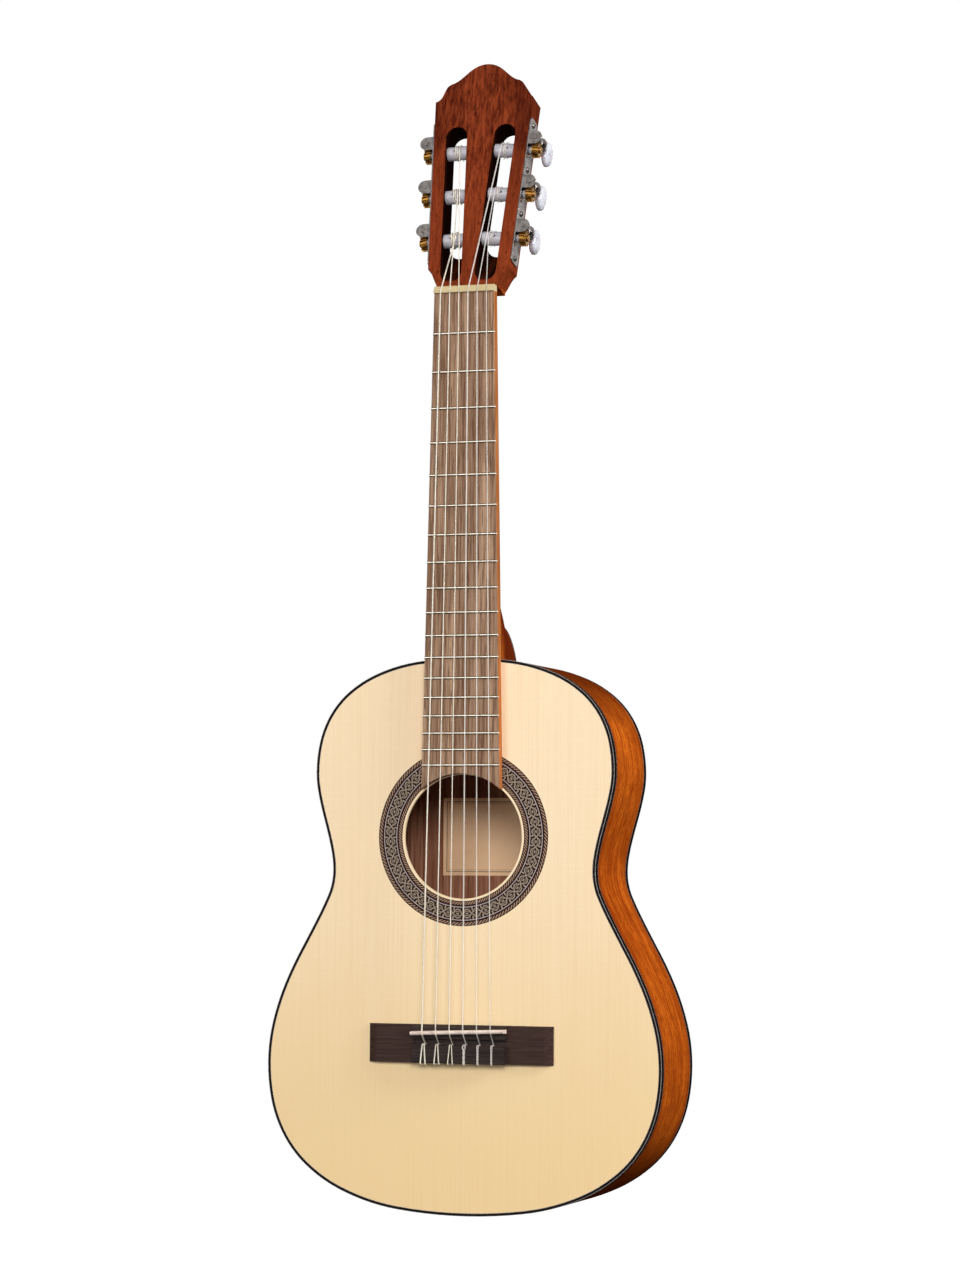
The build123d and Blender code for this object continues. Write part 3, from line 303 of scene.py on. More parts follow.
def label_paper():
    """Plain aged paper with a plain double border."""
    finish = Finish("label_paper", (214, 190, 156), 0.8)
    x, _, z = finish.axes()
    middle = (label_low + label_high) / 2
    half = (label_high - label_low) / 2
    from_side = finish.minus(half.x, finish.absolute(finish.minus(x, middle.x)))
    from_end = finish.minus(half.z, finish.absolute(finish.minus(z, middle.z)))
    inward = finish.smaller(from_side, from_end)
    fibres = finish.noise((900.0, 900.0, 900.0), 4.0, 0.7)
    stains = finish.noise((30.0, 30.0, 30.0), 3.0, 0.6)
    colour = finish.mix(finish.ramp(fibres, 0.3, 0.7, 0.0, 0.3), (255, 214, 170), (246, 190, 146))
    colour = finish.mix(finish.ramp(stains, 0.45, 0.7, 0.0, 0.4), colour, (242, 182, 136))
    # Each line of the border: its start and end, inwards from the paper's edge, and its strength
    for start, end, strength in ((2.6 * MM, 3.3 * MM, 0.75), (4.2 * MM, 4.5 * MM, 0.6)):
        past_start = finish.math("GREATER_THAN", inward, start)
        line = finish.times(past_start, finish.math("LESS_THAN", inward, end))
        colour = finish.mix(finish.times(line, strength), colour, (104, 66, 52))
    finish.use("Base Color", colour)
    finish.relief(fibres, 0.02 * MM)
    return finish.material


def fingerboard_wood():
    """Grey-brown open-grained wood in uneven streaks, with orange-brown varnish on its sides."""
    finish = Finish("fingerboard_wood", (150, 118, 96), 0.6, Specular_IOR_Level=0.0)
    streaks = finish.noise((620.0, 620.0, 16.0), 5.0, 0.65)
    wide = finish.noise((120.0, 120.0, 4.0), 2.0, 0.5)
    dashes = finish.noise((1500.0, 1500.0, 45.0), 2.0, 0.5)
    colour = finish.mix(finish.ramp(streaks, 0.30, 0.66), (110, 79, 60), (190, 156, 128))
    colour = finish.mix(finish.ramp(wide, 0.42, 0.62, 0.40, 0.0), colour, (104, 74, 56))
    pores = finish.ramp(dashes, 0.57, 0.68)
    colour = finish.mix(finish.times(pores, 0.72), colour, (70, 47, 37))
    varnished = finish.mix(finish.ramp(streaks, 0.30, 0.70), (150, 80, 38), (200, 130, 76))
    on_sides = finish.ramp(finish.absolute(finish.facing()[0]), 0.5, 0.8)
    finish.use("Base Color", finish.mix(on_sides, colour, varnished))
    finish.grain_relief(streaks, pores, 0.03 * MM, 0.4 * MM)
    return finish.material


def neck_wood():
    """Reddish brown headstock passing into an orange-brown neck, with a painted highlight low on
    the headstock and a heel darkened by painted shade.
    """
    finish = Finish("neck_wood", (140, 62, 24), 0.42, Specular_IOR_Level=0.0)
    x, y, z = finish.axes()
    streaks = finish.noise((420.0, 300.0, 13.0), 5.0, 0.62)
    wide = finish.noise((46.0, 46.0, 7.0), 3.0, 0.55)
    dashes = finish.noise((1150.0, 900.0, 48.0), 1.0, 0.4)
    grain = finish.ramp(streaks, 0.30, 0.70)
    on_head = finish.ramp(z, 0.0, 7.0 * MM)
    neck_tone = finish.mix(grain, (138, 58, 16), (196, 100, 38))
    head_tone = finish.mix(grain, (76, 24, 12), (143, 63, 34))
    colour = finish.mix(on_head, neck_tone, head_tone)
    darker = finish.mix(on_head, (112, 44, 12), (60, 18, 10))
    colour = finish.mix(finish.ramp(wide, 0.34, 0.62, 0.62, 0.0), colour, darker)
    # A painted highlight lightens the lower part of the headstock
    painted_light_low_on_head = finish.times(on_head, finish.ramp(z, 130.0 * MM, 60.0 * MM, 0.0, 0.45))
    colour = finish.mix(painted_light_low_on_head, colour, (148, 64, 33))
    # Painted shade darkens the heel, more so deeper behind the fingerboard and towards the body
    below_board = finish.ramp(y, 1.0 * MM, 13.0 * MM, 0.0, 0.85)
    heel = finish.times(below_board, finish.ramp(z, -178.0 * MM, -222.0 * MM))
    off_head = finish.minus(1.0, on_head)
    colour = finish.mix(finish.times(heel, off_head), colour, (92, 28, 11))
    pores = finish.ramp(dashes, 0.60, 0.70)
    colour = finish.mix(finish.times(pores, 0.6), colour, (62, 20, 8))

    # The walls inside the headstock's slots, which spread upwards, are darkened almost black:
    # painted shade, with some dark stain
    upright = finish.ramp(finish.absolute(finish.facing()[1]), 0.75, 0.6)
    without_spread = finish.math("MULTIPLY_ADD", z, -0.035, finish.absolute(x))
    inside = finish.ramp(without_spread, 23.6 * MM, 23.0 * MM)
    above_foot = finish.ramp(z, 6.0 * MM, 12.0 * MM)
    below_top = finish.ramp(z, 136.0 * MM, 134.0 * MM)
    in_slot = finish.times(inside, finish.times(above_foot, below_top))
    walls = finish.times(upright, in_slot)
    colour = finish.mix(finish.times(walls, 0.95), colour, (15, 7, 5))
    finish.use("Base Color", colour)
    finish.grain_relief(streaks, pores, 0.010 * MM, 0.5 * MM)
    return finish.material


def rib_wood():
    """Mahogany whose grain follows the bent sides, darkened by painted shade at the neck, the tail
    and the edges.
    """
    finish = Finish("rib_wood", (178, 84, 26), 0.4, Specular_IOR_Level=0.0)
    _, y, z = finish.axes()
    streaks = finish.noise((13.0, 420.0, 13.0), 5.0, 0.62)
    wide = finish.noise((7.0, 55.0, 7.0), 3.0, 0.55)
    clouds = finish.noise((45.0, 40.0, 45.0), 3.0, 0.6)
    dashes = finish.noise((60.0, 1300.0, 60.0), 1.0, 0.4)
    flecks = finish.noise((240.0, 1200.0, 240.0), 4.0, 0.65)
    figure = finish.plus(finish.times(streaks, 0.5), finish.times(flecks, 0.5))
    colour = finish.mix(finish.ramp(figure, 0.38, 0.62), (148, 58, 10), (228, 117, 32))
    colour = finish.mix(finish.ramp(wide, 0.34, 0.62, 0.35, 0.0), colour, (140, 52, 9))
    colour = finish.mix(finish.ramp(clouds, 0.38, 0.60, 0.4, 0.0), colour, (142, 54, 9))
    # Painted shade darkens the sides towards the neck and the tail
    shade_at_neck = finish.ramp(z, -330.0 * MM, -274.0 * MM, 0.0, 0.85)
    shade_at_tail = finish.ramp(z, -588.0 * MM, -655.0 * MM, 0.0, 0.8)
    colour = finish.mix(finish.larger(shade_at_neck, shade_at_tail), colour, (80, 27, 6))
    # Painted shade darkens the sides along their top and back edges
    shade_by_top = finish.ramp(y, 17.0 * MM, 6.0 * MM, 0.0, 0.4)
    shade_by_back = finish.ramp(y, 64.0 * MM, 77.0 * MM, 0.0, 0.4)
    colour = finish.mix(finish.larger(shade_by_top, shade_by_back), colour, (104, 38, 8))
    pores = finish.ramp(dashes, 0.60, 0.70)
    colour = finish.mix(finish.times(pores, 0.55), colour, (76, 24, 8))
    finish.use("Base Color", colour)
    finish.grain_relief(streaks, pores, 0.010 * MM)
    return finish.material


def back_wood():
    """Mahogany of the back: varnished outside and bare, paler and greyer inside."""
    finish = Finish("back_wood", (178, 84, 26), 0.4, Specular_IOR_Level=0.0)
    streaks = finish.noise((420.0, 60.0, 12.0), 5.0, 0.62)
    wide = finish.noise((60.0, 10.0, 3.0), 3.0, 0.55)
    clouds = finish.noise((14.0, 14.0, 9.0), 2.0, 0.5)
    dashes = finish.noise((1100.0, 160.0, 34.0), 1.0, 0.4)
    grain = finish.ramp(streaks, 0.30, 0.70)
    outside = finish.mix(grain, (150, 62, 14), (212, 108, 36))
    inside = finish.mix(grain, (136, 86, 64), (194, 142, 114))
    bare = finish.ramp(finish.facing()[1], -0.2, -0.8)
    colour = finish.mix(bare, outside, inside)
    darker = finish.mix(bare, (130, 48, 9), (136, 86, 66))
    colour = finish.mix(finish.ramp(wide, 0.36, 0.62, 0.55, 0.0), colour, darker)
    colour = finish.mix(finish.ramp(clouds, 0.38, 0.60, 0.25, 0.0), colour, darker)
    pores = finish.ramp(dashes, 0.60, 0.70)
    colour = finish.mix(finish.times(pores, 0.5), colour, (76, 26, 10))
    finish.use("Base Color", colour)
    finish.grain_relief(streaks, pores, 0.010 * MM)
    return finish.material


def inner_wood():
    """Bare straight-grained wood of the blocks, the linings, the braces and the bridge patch."""
    finish = Finish("inner_wood", (214, 178, 128), 0.7, Specular_IOR_Level=0.0)
    streaks = finish.noise((330.0, 330.0, 14.0), 5.0, 0.62)
    wide = finish.noise((52.8, 52.8, 2.24), 2.0, 0.5)
    clouds = finish.noise((14.0, 14.0, 9.0), 2.0, 0.5)
    dashes = finish.noise((858.0, 858.0, 36.4), 1.0, 0.4)
    colour = finish.mix(finish.ramp(streaks, 0.32, 0.68), (176, 134, 88), (214, 178, 128))
    shade = finish.plus(finish.times(wide, 0.6), finish.times(clouds, 0.4))
    colour = finish.mix(finish.ramp(shade, 0.36, 0.64, 0.35, 0.0), colour, (176, 134, 88))
    pores = finish.ramp(dashes, 0.60, 0.70)
    colour = finish.mix(finish.times(pores, 0.5), colour, (120, 84, 52))
    finish.use("Base Color", colour)
    finish.grain_relief(streaks, pores, 0.012 * MM)
    return finish.material


def bridge_wood():
    """Fine-grained dark brown wood, blacker on the raised middle."""
    finish = Finish("bridge_wood", (66, 48, 43), 0.45, Specular_IOR_Level=0.1)
    x, _, _ = finish.axes()
    streaks = finish.noise((22.0, 900.0, 900.0), 5.0, 0.65)
    dashes = finish.noise((60.0, 2400.0, 2400.0), 2.0, 0.5)
    on_middle = finish.ramp(finish.absolute(x), 36.2 * MM, 35.2 * MM)
    grain = finish.ramp(streaks, 0.30, 0.70)
    wings = finish.mix(grain, (46, 29, 25), (70, 50, 43))
    middle = finish.mix(grain, (32, 24, 22), (60, 48, 44))
    colour = finish.mix(on_middle, wings, middle)
    pores = finish.ramp(dashes, 0.58, 0.70)
    colour = finish.mix(finish.times(pores, 0.6), colour, (28, 19, 18))
    finish.use("Base Color", colour)
    finish.grain_relief(streaks, pores, 0.012 * MM, 0.4 * MM)
    return finish.material


def speckled(name, colour, spot, rough, size, amount, **fixed):
    """A nearly even material with fine mottling, such as bone or moulded plastic."""
    finish = Finish(name, colour, rough, **fixed)
    mottle = finish.noise((size, size, size), 4.0, 0.65)
    clouds = finish.noise((size / 9,) * 3, 2.0, 0.5)
    mixed = finish.plus(finish.times(mottle, 0.6), finish.times(clouds, 0.4))
    finish.use("Base Color", finish.mix(finish.ramp(mixed, 0.40, 0.62, 0.0, amount), colour, spot))
    finish.relief(mottle, 0.004 * MM, 0.3 * MM)
    return finish.material


def black_binding():
    """Black plastic whose rounded edges carry a painted grey highlight."""
    finish = Finish("black_binding", (22, 21, 21), 0.4, Specular_IOR_Level=0.0)
    mottle = finish.noise((900.0, 900.0, 900.0), 4.0, 0.65)
    # A painted grey highlight along the edges, where the rounded normal turns away from the flat
    # one
    rounded_normal = finish.node("Bevel", 1.0 * MM, samples=8)
    flat_normal = finish.node("NewGeometry", out=1)
    turned = finish.node("VectorMath", rounded_normal, flat_normal, operation="DOT_PRODUCT", out=1)
    painted_edge_highlight = finish.ramp(turned, 0.99, 0.90, 0.0, 0.95)
    colour = finish.mix(finish.ramp(mottle, 0.40, 0.62, 0.0, 0.35), (22, 20, 20), (38, 34, 33))
    finish.use("Base Color", finish.mix(painted_edge_highlight, colour, (172, 164, 158)))
    finish.relief(mottle, 0.004 * MM, 0.5 * MM)
    return finish.material


def metal(name, colour, tarnish_and_reflection, rough):
    """Plated metal with faint scratches, and darker patches that are partly tarnish and partly
    painted reflection.
    """
    finish = Finish(name, colour, rough, Metallic=1.0)
    patches = finish.noise((260.0, 260.0, 260.0), 3.0, 0.6)
    scratches = finish.noise((2400.0, 300.0, 500.0), 3.0, 0.7)
    # Darker patches: partly tarnish, partly painted reflection
    tarnish_and_reflection_patches = finish.ramp(patches, 0.42, 0.62, 0.0, 0.6)
    finish.use("Base Color", finish.mix(tarnish_and_reflection_patches, colour, tarnish_and_reflection))
    finish.use("Roughness", finish.ramp(scratches, 0.3, 0.7, rough - 0.08, rough + 0.12))
    finish.relief(scratches, 0.003 * MM, 0.25 * MM)
    return finish.material


def fret_metal():
    """Polished wire whose flanks, beside the crest, are darkened by painted shade."""
    finish = Finish("fret_metal", (214, 208, 196), 0.3, Metallic=0.6)
    scratches = finish.noise((300.0, 2400.0, 2400.0), 3.0, 0.7)
    crest = finish.ramp(finish.absolute(finish.facing()[2]), 0.45, 0.15)
    scratched = finish.ramp(scratches, 0.4, 0.7, 0.0, 0.4)
    colour = finish.mix(scratched, (226, 218, 204), (190, 178, 158))
    # The flanks take a painted shade; the crest keeps the metal's own colour
    finish.use("Base Color", finish.mix(crest, (112, 96, 78), colour))
    finish.relief(scratches, 0.002 * MM)
    return finish.material


def wound_metal():
    """Silver-plated wire wound round a core: a fine ridge for each turn along the string."""
    finish = Finish("wound_metal", (240, 230, 208), 0.36, Metallic=0.4)
    wire_pitch = 0.22 * MM
    along = finish.node("SeparateXYZ", finish.node("TexCoord", out=2))
    ridge = finish.sine(finish.times(along, 2 * math.pi / wire_pitch))
    patches = finish.noise((300.0, 300.0, 300.0), 3.0, 0.6)
    # Painted shade darkens the grooves between the turns
    groove = finish.ramp(ridge, -1.0, -0.2, 0.45, 0.0)
    colour = finish.mix(finish.ramp(patches, 0.4, 0.7, 0.0, 0.4), (252, 244, 228), (226, 208, 178))
    finish.use("Base Color", finish.mix(groove, colour, (150, 132, 108)))
    finish.relief(ridge, 0.03 * MM)
    return finish.material


def clear_nylon():
    """Clear polished nylon with a faint haze along it."""
    finish = Finish("clear_nylon", (244, 238, 230), 0.2, Alpha=0.4)
    haze = finish.noise((700.0, 700.0, 60.0), 3.0, 0.6)
    hazy = finish.ramp(haze, 0.35, 0.7, 0.0, 0.5)
    finish.use("Base Color", finish.mix(hazy, (250, 244, 236), (228, 218, 208)))
    finish.relief(haze, 0.003 * MM)
    return finish.material


def pearloid():
    """White plastic with soft pearly folds."""
    coat = {"Coat_Weight": 0.2, "Coat_Roughness": 0.05}
    finish = Finish("pearloid", (232, 232, 232), 0.14, Subsurface_Weight=0.15, **coat)
    folds = finish.noise((150.0, 150.0, 150.0), 4.0, 0.6)
    drift = finish.noise((420.0, 420.0, 420.0), 2.0, 0.5)
    colour = finish.mix(finish.ramp(folds, 0.36, 0.60), (176, 175, 184), (214, 213, 220))
    colour = finish.mix(finish.ramp(drift, 0.45, 0.70, 0.0, 0.4), colour, (190, 188, 197))
    finish.use("Base Color", colour)
    finish.relief(folds, 0.004 * MM)
    return finish.material


finishes = {
    "spruce_top": spruce_top(),
    "rosette_inlay": rosette_inlay(),
    "label_paper": label_paper(),
    "fingerboard_wood": fingerboard_wood(),
    "neck_wood": neck_wood(),
    "rib_wood": rib_wood(),
    "back_wood": back_wood(),
    "inner_wood": inner_wood(),
    "bridge_wood": bridge_wood(),
    "black_binding": black_binding(),
    "bone_nut": speckled(
        "bone_nut", (206, 186, 142), (178, 154, 106), 0.4, 900.0, 0.35, Specular_IOR_Level=0.25
    ),
    "bone_saddle": speckled(
        "bone_saddle", (240, 222, 208), (196, 172, 160), 0.4, 1400.0, 0.7, Specular_IOR_Level=0.2
    ),
    "white_roller": speckled(
        "white_roller", (196, 190, 197), (168, 161, 169), 0.3, 500.0, 0.35, Subsurface_Weight=0.1
    ),
    "nickel": metal("nickel", (138, 132, 129), (86, 81, 78), 0.22),
    "fret_metal": fret_metal(),
    "brass": metal("brass", (168, 124, 58), (104, 72, 30), 0.30),
    "wound_metal": wound_metal(),
    "clear_nylon": clear_nylon(),
    "pearloid": pearloid(),
}

node_finishes = {
    "soundboard": "spruce_top",
    "rosette": "rosette_inlay",
    "label": "label_paper",
    "fingerboard": "fingerboard_wood",
    "neck": "neck_wood",
    "side_treble": "rib_wood",
    "side_bass": "rib_wood",
    "back": "back_wood",
    "top_binding": "black_binding",
    "back_binding": "black_binding",
    "heel_cap": "black_binding",
    "nut": "bone_nut",
    "saddle": "bone_saddle",
    "bridge": "bridge_wood",
    "frets": "fret_metal",
    "tuner_plate_treble": "nickel",
    "tuner_plate_bass": "nickel",
    "plate_screws": "nickel",
}
for name in ("neck_block", "tail_block", "linings", "top_braces", "bridge_patch", "back_braces"):
    node_finishes[name] = "inner_wood"


def string_finish(number):
    return "clear_nylon" if number <= 3 else "wound_metal"


for number in range(1, 7):
    node_finishes[f"roller_{number}"] = "white_roller"
    node_finishes[f"cog_{number}"] = "brass"
    node_finishes[f"key_shaft_{number}"] = "nickel"
    node_finishes[f"button_{number}"] = "pearloid"
    node_finishes[f"string_{number}"] = string_finish(number)
    node_finishes[f"string_winding_{number}"] = string_finish(number)


def dress(piece, finish):
    """Gives a piece one of the finishes in all its material slots."""
    if not piece.data.materials:
        piece.data.materials.append(None)
    for slot in piece.material_slots:
        slot.material = finishes[finish]


for name, finish in node_finishes.items():
    dress(nodes[name], finish)


def smooth_piece(mesh, finish):
    """A piece named after its mesh, smoothly shaded, in the scene and dressed."""
    mesh.shade_smooth()
    piece = bpy.data.objects.new(mesh.name, mesh)
    bpy.context.scene.collection.objects.link(piece)
    dress(piece, finish)
    return piece


# ---------------------------------------------------------------- round bars along a route
def smooth_route(points, radii):
    """The points of a route whose inner corners are arcs of the given radii."""
    step = math.radians(12)
    route = [points[0]]
    for before, corner, after, radius in zip(points, points[1:], points[2:], radii):
        inward = (before - corner).normalized()
        onward = (after - corner).normalized()
        half_angle = math.acos(max(-1.0, min(1.0, inward.dot(onward)))) / 2
        if half_angle > math.radians(89) or radius == 0:
            route.append(corner)
            continue
        room = 0.49 * min((before - corner).length, (after - corner).length)
        reach = min(radius / math.tan(half_angle), room)
        radius = reach * math.tan(half_angle)
        middle = corner + (inward + onward).normalized() * (radius / math.sin(half_angle))
        start = corner + inward * reach - middle
        end = corner + onward * reach - middle
        turn = math.pi - 2 * half_angle
        count = max(2, math.ceil(turn / step))
        for share in range(count + 1):
            angle = turn * share / count
            mixed = start * math.sin(turn - angle) + end * math.sin(angle)
            route.append(middle + mixed / math.sin(turn))
    route.append(points[-1])
    return route


def bar(name, points, radius, finish):
    """A closed round bar along a route. Its first map coordinate is the length along it."""
    sides = 12
    ways = [(b - a).normalized() for a, b in zip(points, points[1:])]
    ways = [ways[0]] + [(a + b).normalized() for a, b in zip(ways, ways[1:])] + [ways[-1]]
    side = ways[0].orthogonal().normalized()
    vertices, lengths = [], [0.0]
    for index, (point, way) in enumerate(zip(points, ways)):
        side = (side - way * side.dot(way)).normalized()
        over = way.cross(side)
        for corner in range(sides):
            angle = 2 * math.pi * corner / sides
            vertices.append(point + (side * math.cos(angle) + over * math.sin(angle)) * radius)
        if index:
            lengths.append(lengths[-1] + (point - points[index - 1]).length)
    faces, map_points = [], []
    for ring in range(len(points) - 1):
        near, far = lengths[ring], lengths[ring + 1]
        for corner in range(sides):
            follow = (corner + 1) % sides
            first, second = ring * sides, (ring + 1) * sides
            faces.append((first + corner, first + follow, second + follow, second + corner))
            left, right = corner / sides, (corner + 1) / sides
            map_points += [(near, left), (near, right), (far, right), (far, left)]
    for ring, order in ((0, -1), (len(points) - 1, 1)):
        faces.append(tuple(ring * sides + corner for corner in range(sides))[::order])
        map_points += [(lengths[ring], 0.0)] * sides
    mesh = bpy.data.meshes.new(name)
    mesh.from_pydata(vertices, [], faces)
    layer = mesh.uv_layers.new(name="along")
    for place, point in enumerate(map_points):
        layer.data[place].uv = point
    return smooth_piece(mesh, finish)


# ---------------------------------------------------------------- strings
joints = {joint["name"]: joint for joint in frame["joints"]}


def post_frame(number):
    """Origin of a string's roller, and the directions up the head, to the player and outwards."""
    turning = joints[f"roller_{number}_turn"]
    out = Vector(turning["axis"])
    player = Vector(joints[f"key_{number}_turn"]["axis"])
    up = player.cross(out) * (1 if number <= 3 else -1)
    return Vector(turning["pos_m"]), up, player, out


def crossing(number, spread):
    """Place of a string across the neck, where the outer strings are a spread apart."""
    return spread * (3.5 - number) / 5


def loop_tie(x, radius, top, rear, front, under):
    """The route and bends of a wound string's tie: one open loop over the block."""
    half_width, left_foot, right_foot, bend = 0.72 * MM, 2.2 * MM, 1.5 * MM, 1.1 * MM
    free_end = Vector((x + right_foot + 0.2 * MM, top + 2.4 * MM, rear - 0.25 * MM))
    before_hole = Vector((x - left_foot * 0.5, -tie_hole_height - 1.0 * MM, rear - 0.3 * MM))
    points = [
        free_end,
        Vector((x + right_foot, top, rear)),
        Vector((x + half_width, top, front)),
        Vector((x + half_width, under, front)),
        Vector((x - half_width, under, front)),
        Vector((x - half_width, top, front)),
        Vector((x - left_foot, top, rear)),
        before_hole,
    ]
    return points, [1.3 * radius, bend, 1.2 * radius, 1.2 * radius, bend, 1.3 * radius]


def twisted_tie(number, x, radius, top, rear, front, under):
    """The route and bends of a clear string's tie: its two ends twisted together over the block."""
    reach = radius + seat_gap
    axis_high = top - reach
    start_z, end_z = bridge_low.z + 1.0 * MM, bridge_low.z + tie_block_width - 1.2 * MM
    steps = round(twist_turns[number] * twist_steps_per_turn)

    def strand(phase):
        """One strand of the twist, from the block's front to its rear. It opens at the front."""
        line = []
        for step in range(steps + 1):
            share = step / steps
            angle = phase + 2 * math.pi * twist_turns[number] * share
            wide = 1 + twist_opening[number] * max(0.0, 1 - 3 * share)
            high = axis_high + reach * math.sin(angle)
            sideways = x + reach * wide * math.cos(angle)
            line.append(Vector((sideways, high, end_z + (start_z - end_z) * share)))
        return line

    free = strand(0.0)
    held = strand(math.pi)
    free_end = free[-1] + Vector((0.5 * MM, -0.2 * MM, -1.6 * MM))
    around = [
        Vector((x + reach, top, front)),
        Vector((x + reach, under, front)),
        Vector((x - reach, under, front)),
        Vector((x - reach, top, front)),
    ]
    down = [Vector((x, top, rear)), Vector((x, -tie_hole_height - 1.0 * MM, rear))]
    points = [free_end] + free[::-1] + around + held + down
    around_bends = [0.9 * radius, 0.8 * radius, 0.8 * radius, 0.9 * radius]
    return points, [0.0] * len(free) + around_bends + [0.0] * len(held) + [radius]


def tie_route(number, radius):
    """A string's tie on the bridge, from its free end to where it enters the block from behind."""
    x = crossing(number, saddle_string_spread)
    top = bridge_low.y - seat_gap - radius
    rear = bridge_low.z - seat_gap - radius
    front = bridge_low.z + tie_block_width + seat_gap + radius
    under = -(tie_hole_height - 2 * radius - seat_gap)
    if number > 3:
        return loop_tie(x, radius, top, rear, front, under)
    return twisted_tie(number, x, radius, top, rear, front, under)


def string(number):
    """A string from its tie, over saddle and nut, and once part way round its roller."""
    radius = string_diameters[number - 1] / 2
    x = crossing(number, saddle_string_spread)
    points, bends = tie_route(number, radius)
    rear = bridge_low.z - seat_gap - radius
    block_front = bridge_low.z + tie_block_width + tie_hole_lead
    crown_z = (saddle_low.z + saddle_high.z) / 2 + x * saddle_slope
    over = saddle_crown + seat_gap + radius
    crown_height = -saddle_low.y - saddle_crown
    run = Vector((crown_z - block_front, crown_height - tie_hole_height))
    rise = math.atan2(run.y, run.x) + math.asin(over / run.length)
    corner_z = block_front + (crown_height + over - tie_hole_height) / math.tan(rise)
    nut_height = nut_groove_floor + seat_gap + radius
    nut_point = Vector((crossing(number, nut_string_spread), -nut_height, nut_break))
    points += [
        Vector((x, -tie_hole_height, rear)),
        Vector((x, -tie_hole_height, block_front)),
        Vector((x, -crown_height - over, corner_z)),
        nut_point,
    ]
    bends += [0.0, 1.2 * radius, saddle_bend, over]
    origin, up, player, out = post_frame(number)
    lane = origin + out * string_lane
    wrap = roller_radius + wrap_gap + radius
    start = nut_point - lane
    flat = Vector((start.dot(up), start.dot(player)))
    touch = math.atan2(flat.y, flat.x) - math.acos(wrap / flat.length)
    steps = 28
    turns = []
    for step in range(steps + 1):
        angle = touch - first_wrap * step / steps
        turns.append(lane + (up * math.cos(angle) + player * math.sin(angle)) * wrap)
    route = smooth_route(points + [turns[0]], bends + [nut_bend]) + turns[1:]
    piece = bar(f"string_{number}_whole", route, radius, string_finish(number))
    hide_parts(f"string_{number}")
    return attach(piece, "root")


def winding(number):
    """A string's turns on its roller, and its end in the roller's hole."""
    diameter = string_diameters[number - 1]
    origin, up, player, out = post_frame(number)
    reach = roller_radius + seat_gap + diameter / 2
    start = string_lane + diameter + lane_gap
    whole = 2 * math.pi * winding_turns
    end_angle = whole - elbow
    steps, elbow_steps = 72, 8
    route = []
    for step in range(steps + 1):
        angle = end_angle * step / steps
        along = start + (roller_hole - start) * angle / whole
        around = up * math.cos(angle) - player * math.sin(angle)
        route.append(origin - around * reach + out * along)
    hole = origin + out * roller_hole
    last, way = route[-1], (route[-1] - route[-2]).normalized()
    over_hole = last + way * (reach * math.tan(elbow))
    inside = hole - player * (roller_radius - 1.2 * MM)
    for step in range(1, elbow_steps + 1):
        share = step / elbow_steps
        bent = last * (1 - share) ** 2 + over_hole * (2 * share * (1 - share)) + inside * share**2
        route.append(bent)
    route.append(hole + player * (roller_radius - 1.0 * MM))
    piece = bar(f"string_{number}_turns", route, diameter / 2, string_finish(number))
    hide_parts(f"string_winding_{number}")
    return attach(piece, f"roller_{number}")


for number in range(1, 7):
    string(number)
    winding(number)


# ---------------------------------------------------------------- tuning buttons
def button(number):
    """An oval tuning button, thick in the middle."""
    low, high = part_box(f"button_{number}")
    _, up, player, out = post_frame(number)
    middle = (low + high) / 2
    half_width, half_length, half_thickness = 10.0 * MM, 7.5 * MM, 3.8 * MM
    rings, around, fullness = 28, 48, 0.8
    vertices, faces = [], []
    for ring in range(1, rings):
        polar = math.pi * ring / rings
        flatness = abs(math.sin(polar)) ** fullness
        edge = math.copysign(abs(math.cos(polar)) ** fullness, math.cos(polar))
        for step in range(around):
            angle = 2 * math.pi * step / around
            spot = (
                middle
                + up * (half_width * flatness * math.cos(angle))
                + player * (half_length * flatness * math.sin(angle))
                + out * (half_thickness * edge)
            )
            vertices.append(spot)
    for ring in range(rings - 2):
        for step in range(around):
            follow = (step + 1) % around
            first, second = ring * around, (ring + 1) * around
            faces.append((first + step, second + step, second + follow, first + follow))
    top, bottom = len(vertices), len(vertices) + 1
    vertices += [middle + out * half_thickness, middle - out * half_thickness]
    last = (rings - 2) * around
    for step in range(around):
        follow = (step + 1) % around
        faces.append((top, step, follow))
        faces.append((bottom, last + follow, last + step))
    mesh = bpy.data.meshes.new(f"button_{number}_pearl")
    mesh.from_pydata(vertices, [], faces)
    piece = smooth_piece(mesh, "pearloid")
    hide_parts(f"button_{number}")
    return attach(piece, f"key_{number}")


for number in range(1, 7):
    button(number)


# ---------------------------------------------------------------- camera, light and floor
def look_at(eye, yaw, pitch, roll):
    """World matrix of a camera that looks along +Y when yaw, pitch and roll are nought."""
    ahead = Vector(
        (math.sin(yaw) * math.cos(pitch), math.cos(yaw) * math.cos(pitch), math.sin(pitch))
    )
    right = Vector((math.cos(yaw), -math.sin(yaw), 0.0))
    down = ahead.cross(right)
    across = right * math.cos(roll) + down * math.sin(roll)
    upward = right * math.sin(roll) - down * math.cos(roll)
    turned = Matrix((across, upward, -ahead)).transposed()
    return Matrix.Translation(eye) @ turned.to_4x4()


eye = Vector((0.8272, -2.4116, -0.4317))
yaw, pitch, roll = math.radians(-18.677), math.radians(3.976), math.radians(-0.419)
camera_data = bpy.data.cameras.new("camera")
camera_data.sensor_fit = "VERTICAL"
camera_data.sensor_height = 36.0
camera_data.lens = 98.72
camera = bpy.data.objects.new("camera", camera_data)
camera.matrix_world = look_at(eye, yaw, pitch, roll)
bpy.context.scene.collection.objects.link(camera)
bpy.context.scene.camera = camera
bpy.context.scene.view_settings.view_transform = "Standard"

body_middle = Vector((0.0, 0.0, -0.40))


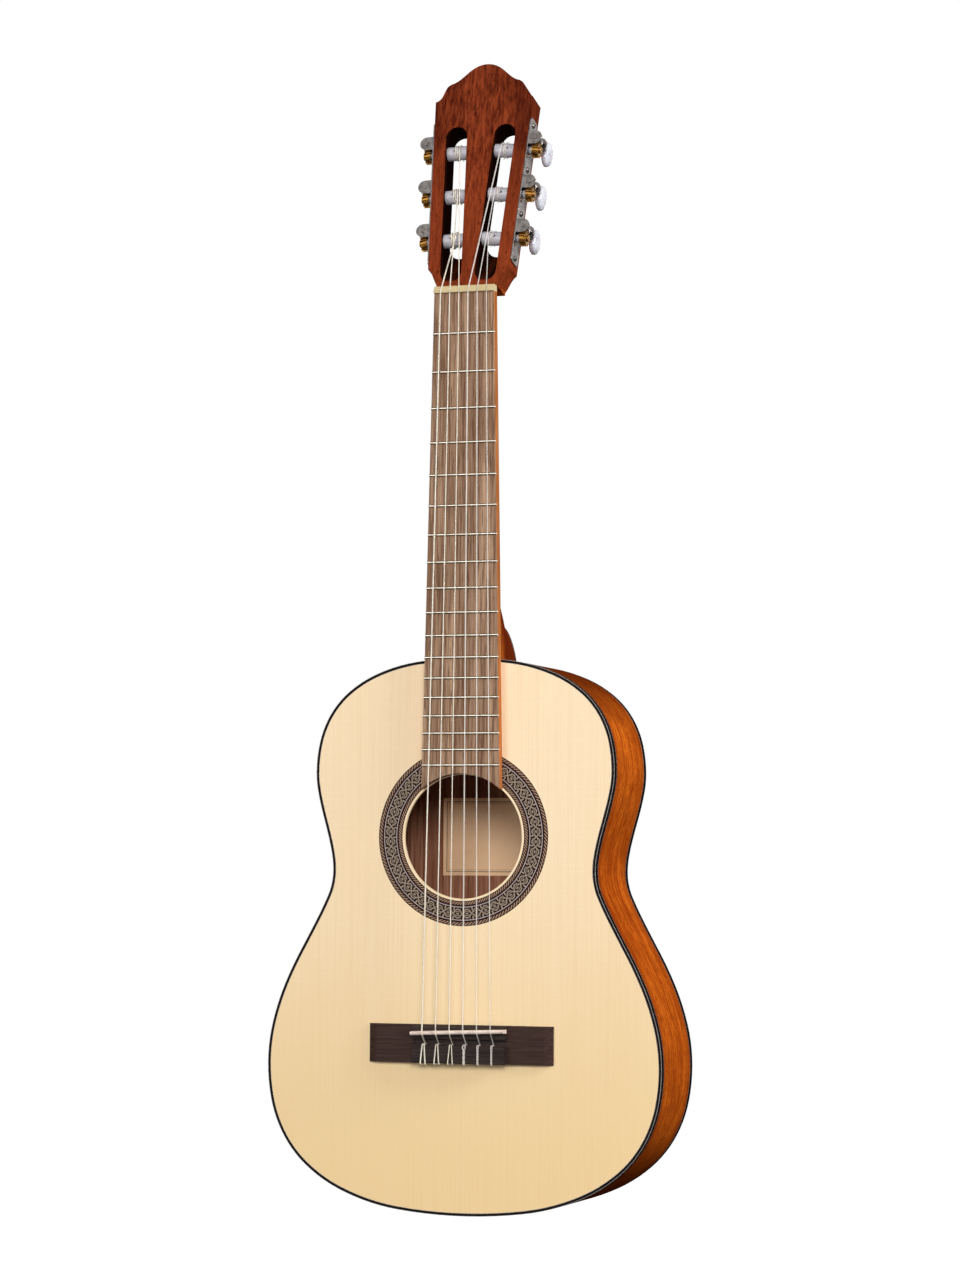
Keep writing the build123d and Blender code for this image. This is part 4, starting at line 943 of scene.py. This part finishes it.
def softbox(name, place, power, width, height):
    """A rectangular lamp that faces the middle of the body."""
    lamp = bpy.data.lights.new(name, "AREA")
    lamp.energy = power
    lamp.shape = "RECTANGLE"
    lamp.size = width
    lamp.size_y = height
    holder = bpy.data.objects.new(name, lamp)
    holder.location = place
    holder.rotation_euler = (body_middle - Vector(place)).to_track_quat("-Z", "Y").to_euler()
    bpy.context.scene.collection.objects.link(holder)


softbox("key_left", (-1.3, -2.4, 0.1), 23.5, 1.2, 1.6)
softbox("key_front", (0.9, -2.3, 0.45), 36.0, 0.9, 0.9)
softbox("rim_right", (2.0, -0.4, 0.6), 38.0, 0.5, 0.7)
softbox("back_fill", (-0.9, 2.4, 0.5), 34.0, 1.4, 1.6)


def background():
    """A soft even light that looks white, also through clear things and in reflections."""
    ambient_strength, white_strength = 0.18, 1.0
    world = bpy.data.worlds.new("studio")
    world.use_nodes = True
    bpy.context.scene.world = world
    tree = world.node_tree
    tree.nodes.clear()
    rays = tree.nodes.new("ShaderNodeLightPath").outputs
    shown = rays["Is Camera Ray"]
    for kind in ("Is Transmission Ray", "Is Glossy Ray"):
        either = tree.nodes.new("ShaderNodeMath")
        either.operation = "MAXIMUM"
        tree.links.new(shown, either.inputs[0])
        tree.links.new(rays[kind], either.inputs[1])
        shown = either.outputs[0]
    mixed = tree.nodes.new("ShaderNodeMixShader")
    tree.links.new(shown, mixed.inputs[0])
    for place, strength in ((1, ambient_strength), (2, white_strength)):
        light = tree.nodes.new("ShaderNodeBackground")
        light.inputs["Color"].default_value = (1.0, 1.0, 1.0, 1.0)
        light.inputs["Strength"].default_value = strength
        tree.links.new(light.outputs[0], mixed.inputs[place])
    result = tree.nodes.new("ShaderNodeOutputWorld")
    tree.links.new(mixed.outputs[0], result.inputs[0])


def floor():
    """A floor well below, almost white to the camera and grey for the light it throws back."""
    drop, reach, glow = 0.30, 9.0, 0.83
    height = cad_box[0][2] - drop
    corners = [(x * reach, y * reach, height) for x, y in ((-1, -1), (1, -1), (1, 1), (-1, 1))]
    mesh = bpy.data.meshes.new("floor")
    mesh.from_pydata(corners, [], [(0, 1, 2, 3)])
    piece = bpy.data.objects.new("floor", mesh)
    bpy.context.scene.collection.objects.link(piece)
    white = (1.0, 1.0, 1.0, 1.0)
    finish = Finish("floor", (250, 250, 250), 0.8, Specular_IOR_Level=0.0, Emission_Color=white)
    grain = finish.noise((3.0, 3.0, 3.0), 2.0, 0.5)
    pale = finish.mix(finish.ramp(grain, 0.4, 0.6, 0.0, 0.3), (252, 252, 252), (249, 249, 249))
    to_camera = finish.node("LightPath")
    finish.use("Base Color", finish.mix(to_camera, (104, 104, 104), pale))
    finish.use("Emission Strength", finish.times(to_camera, glow))
    mesh.materials.append(finish.material)


background()
floor()
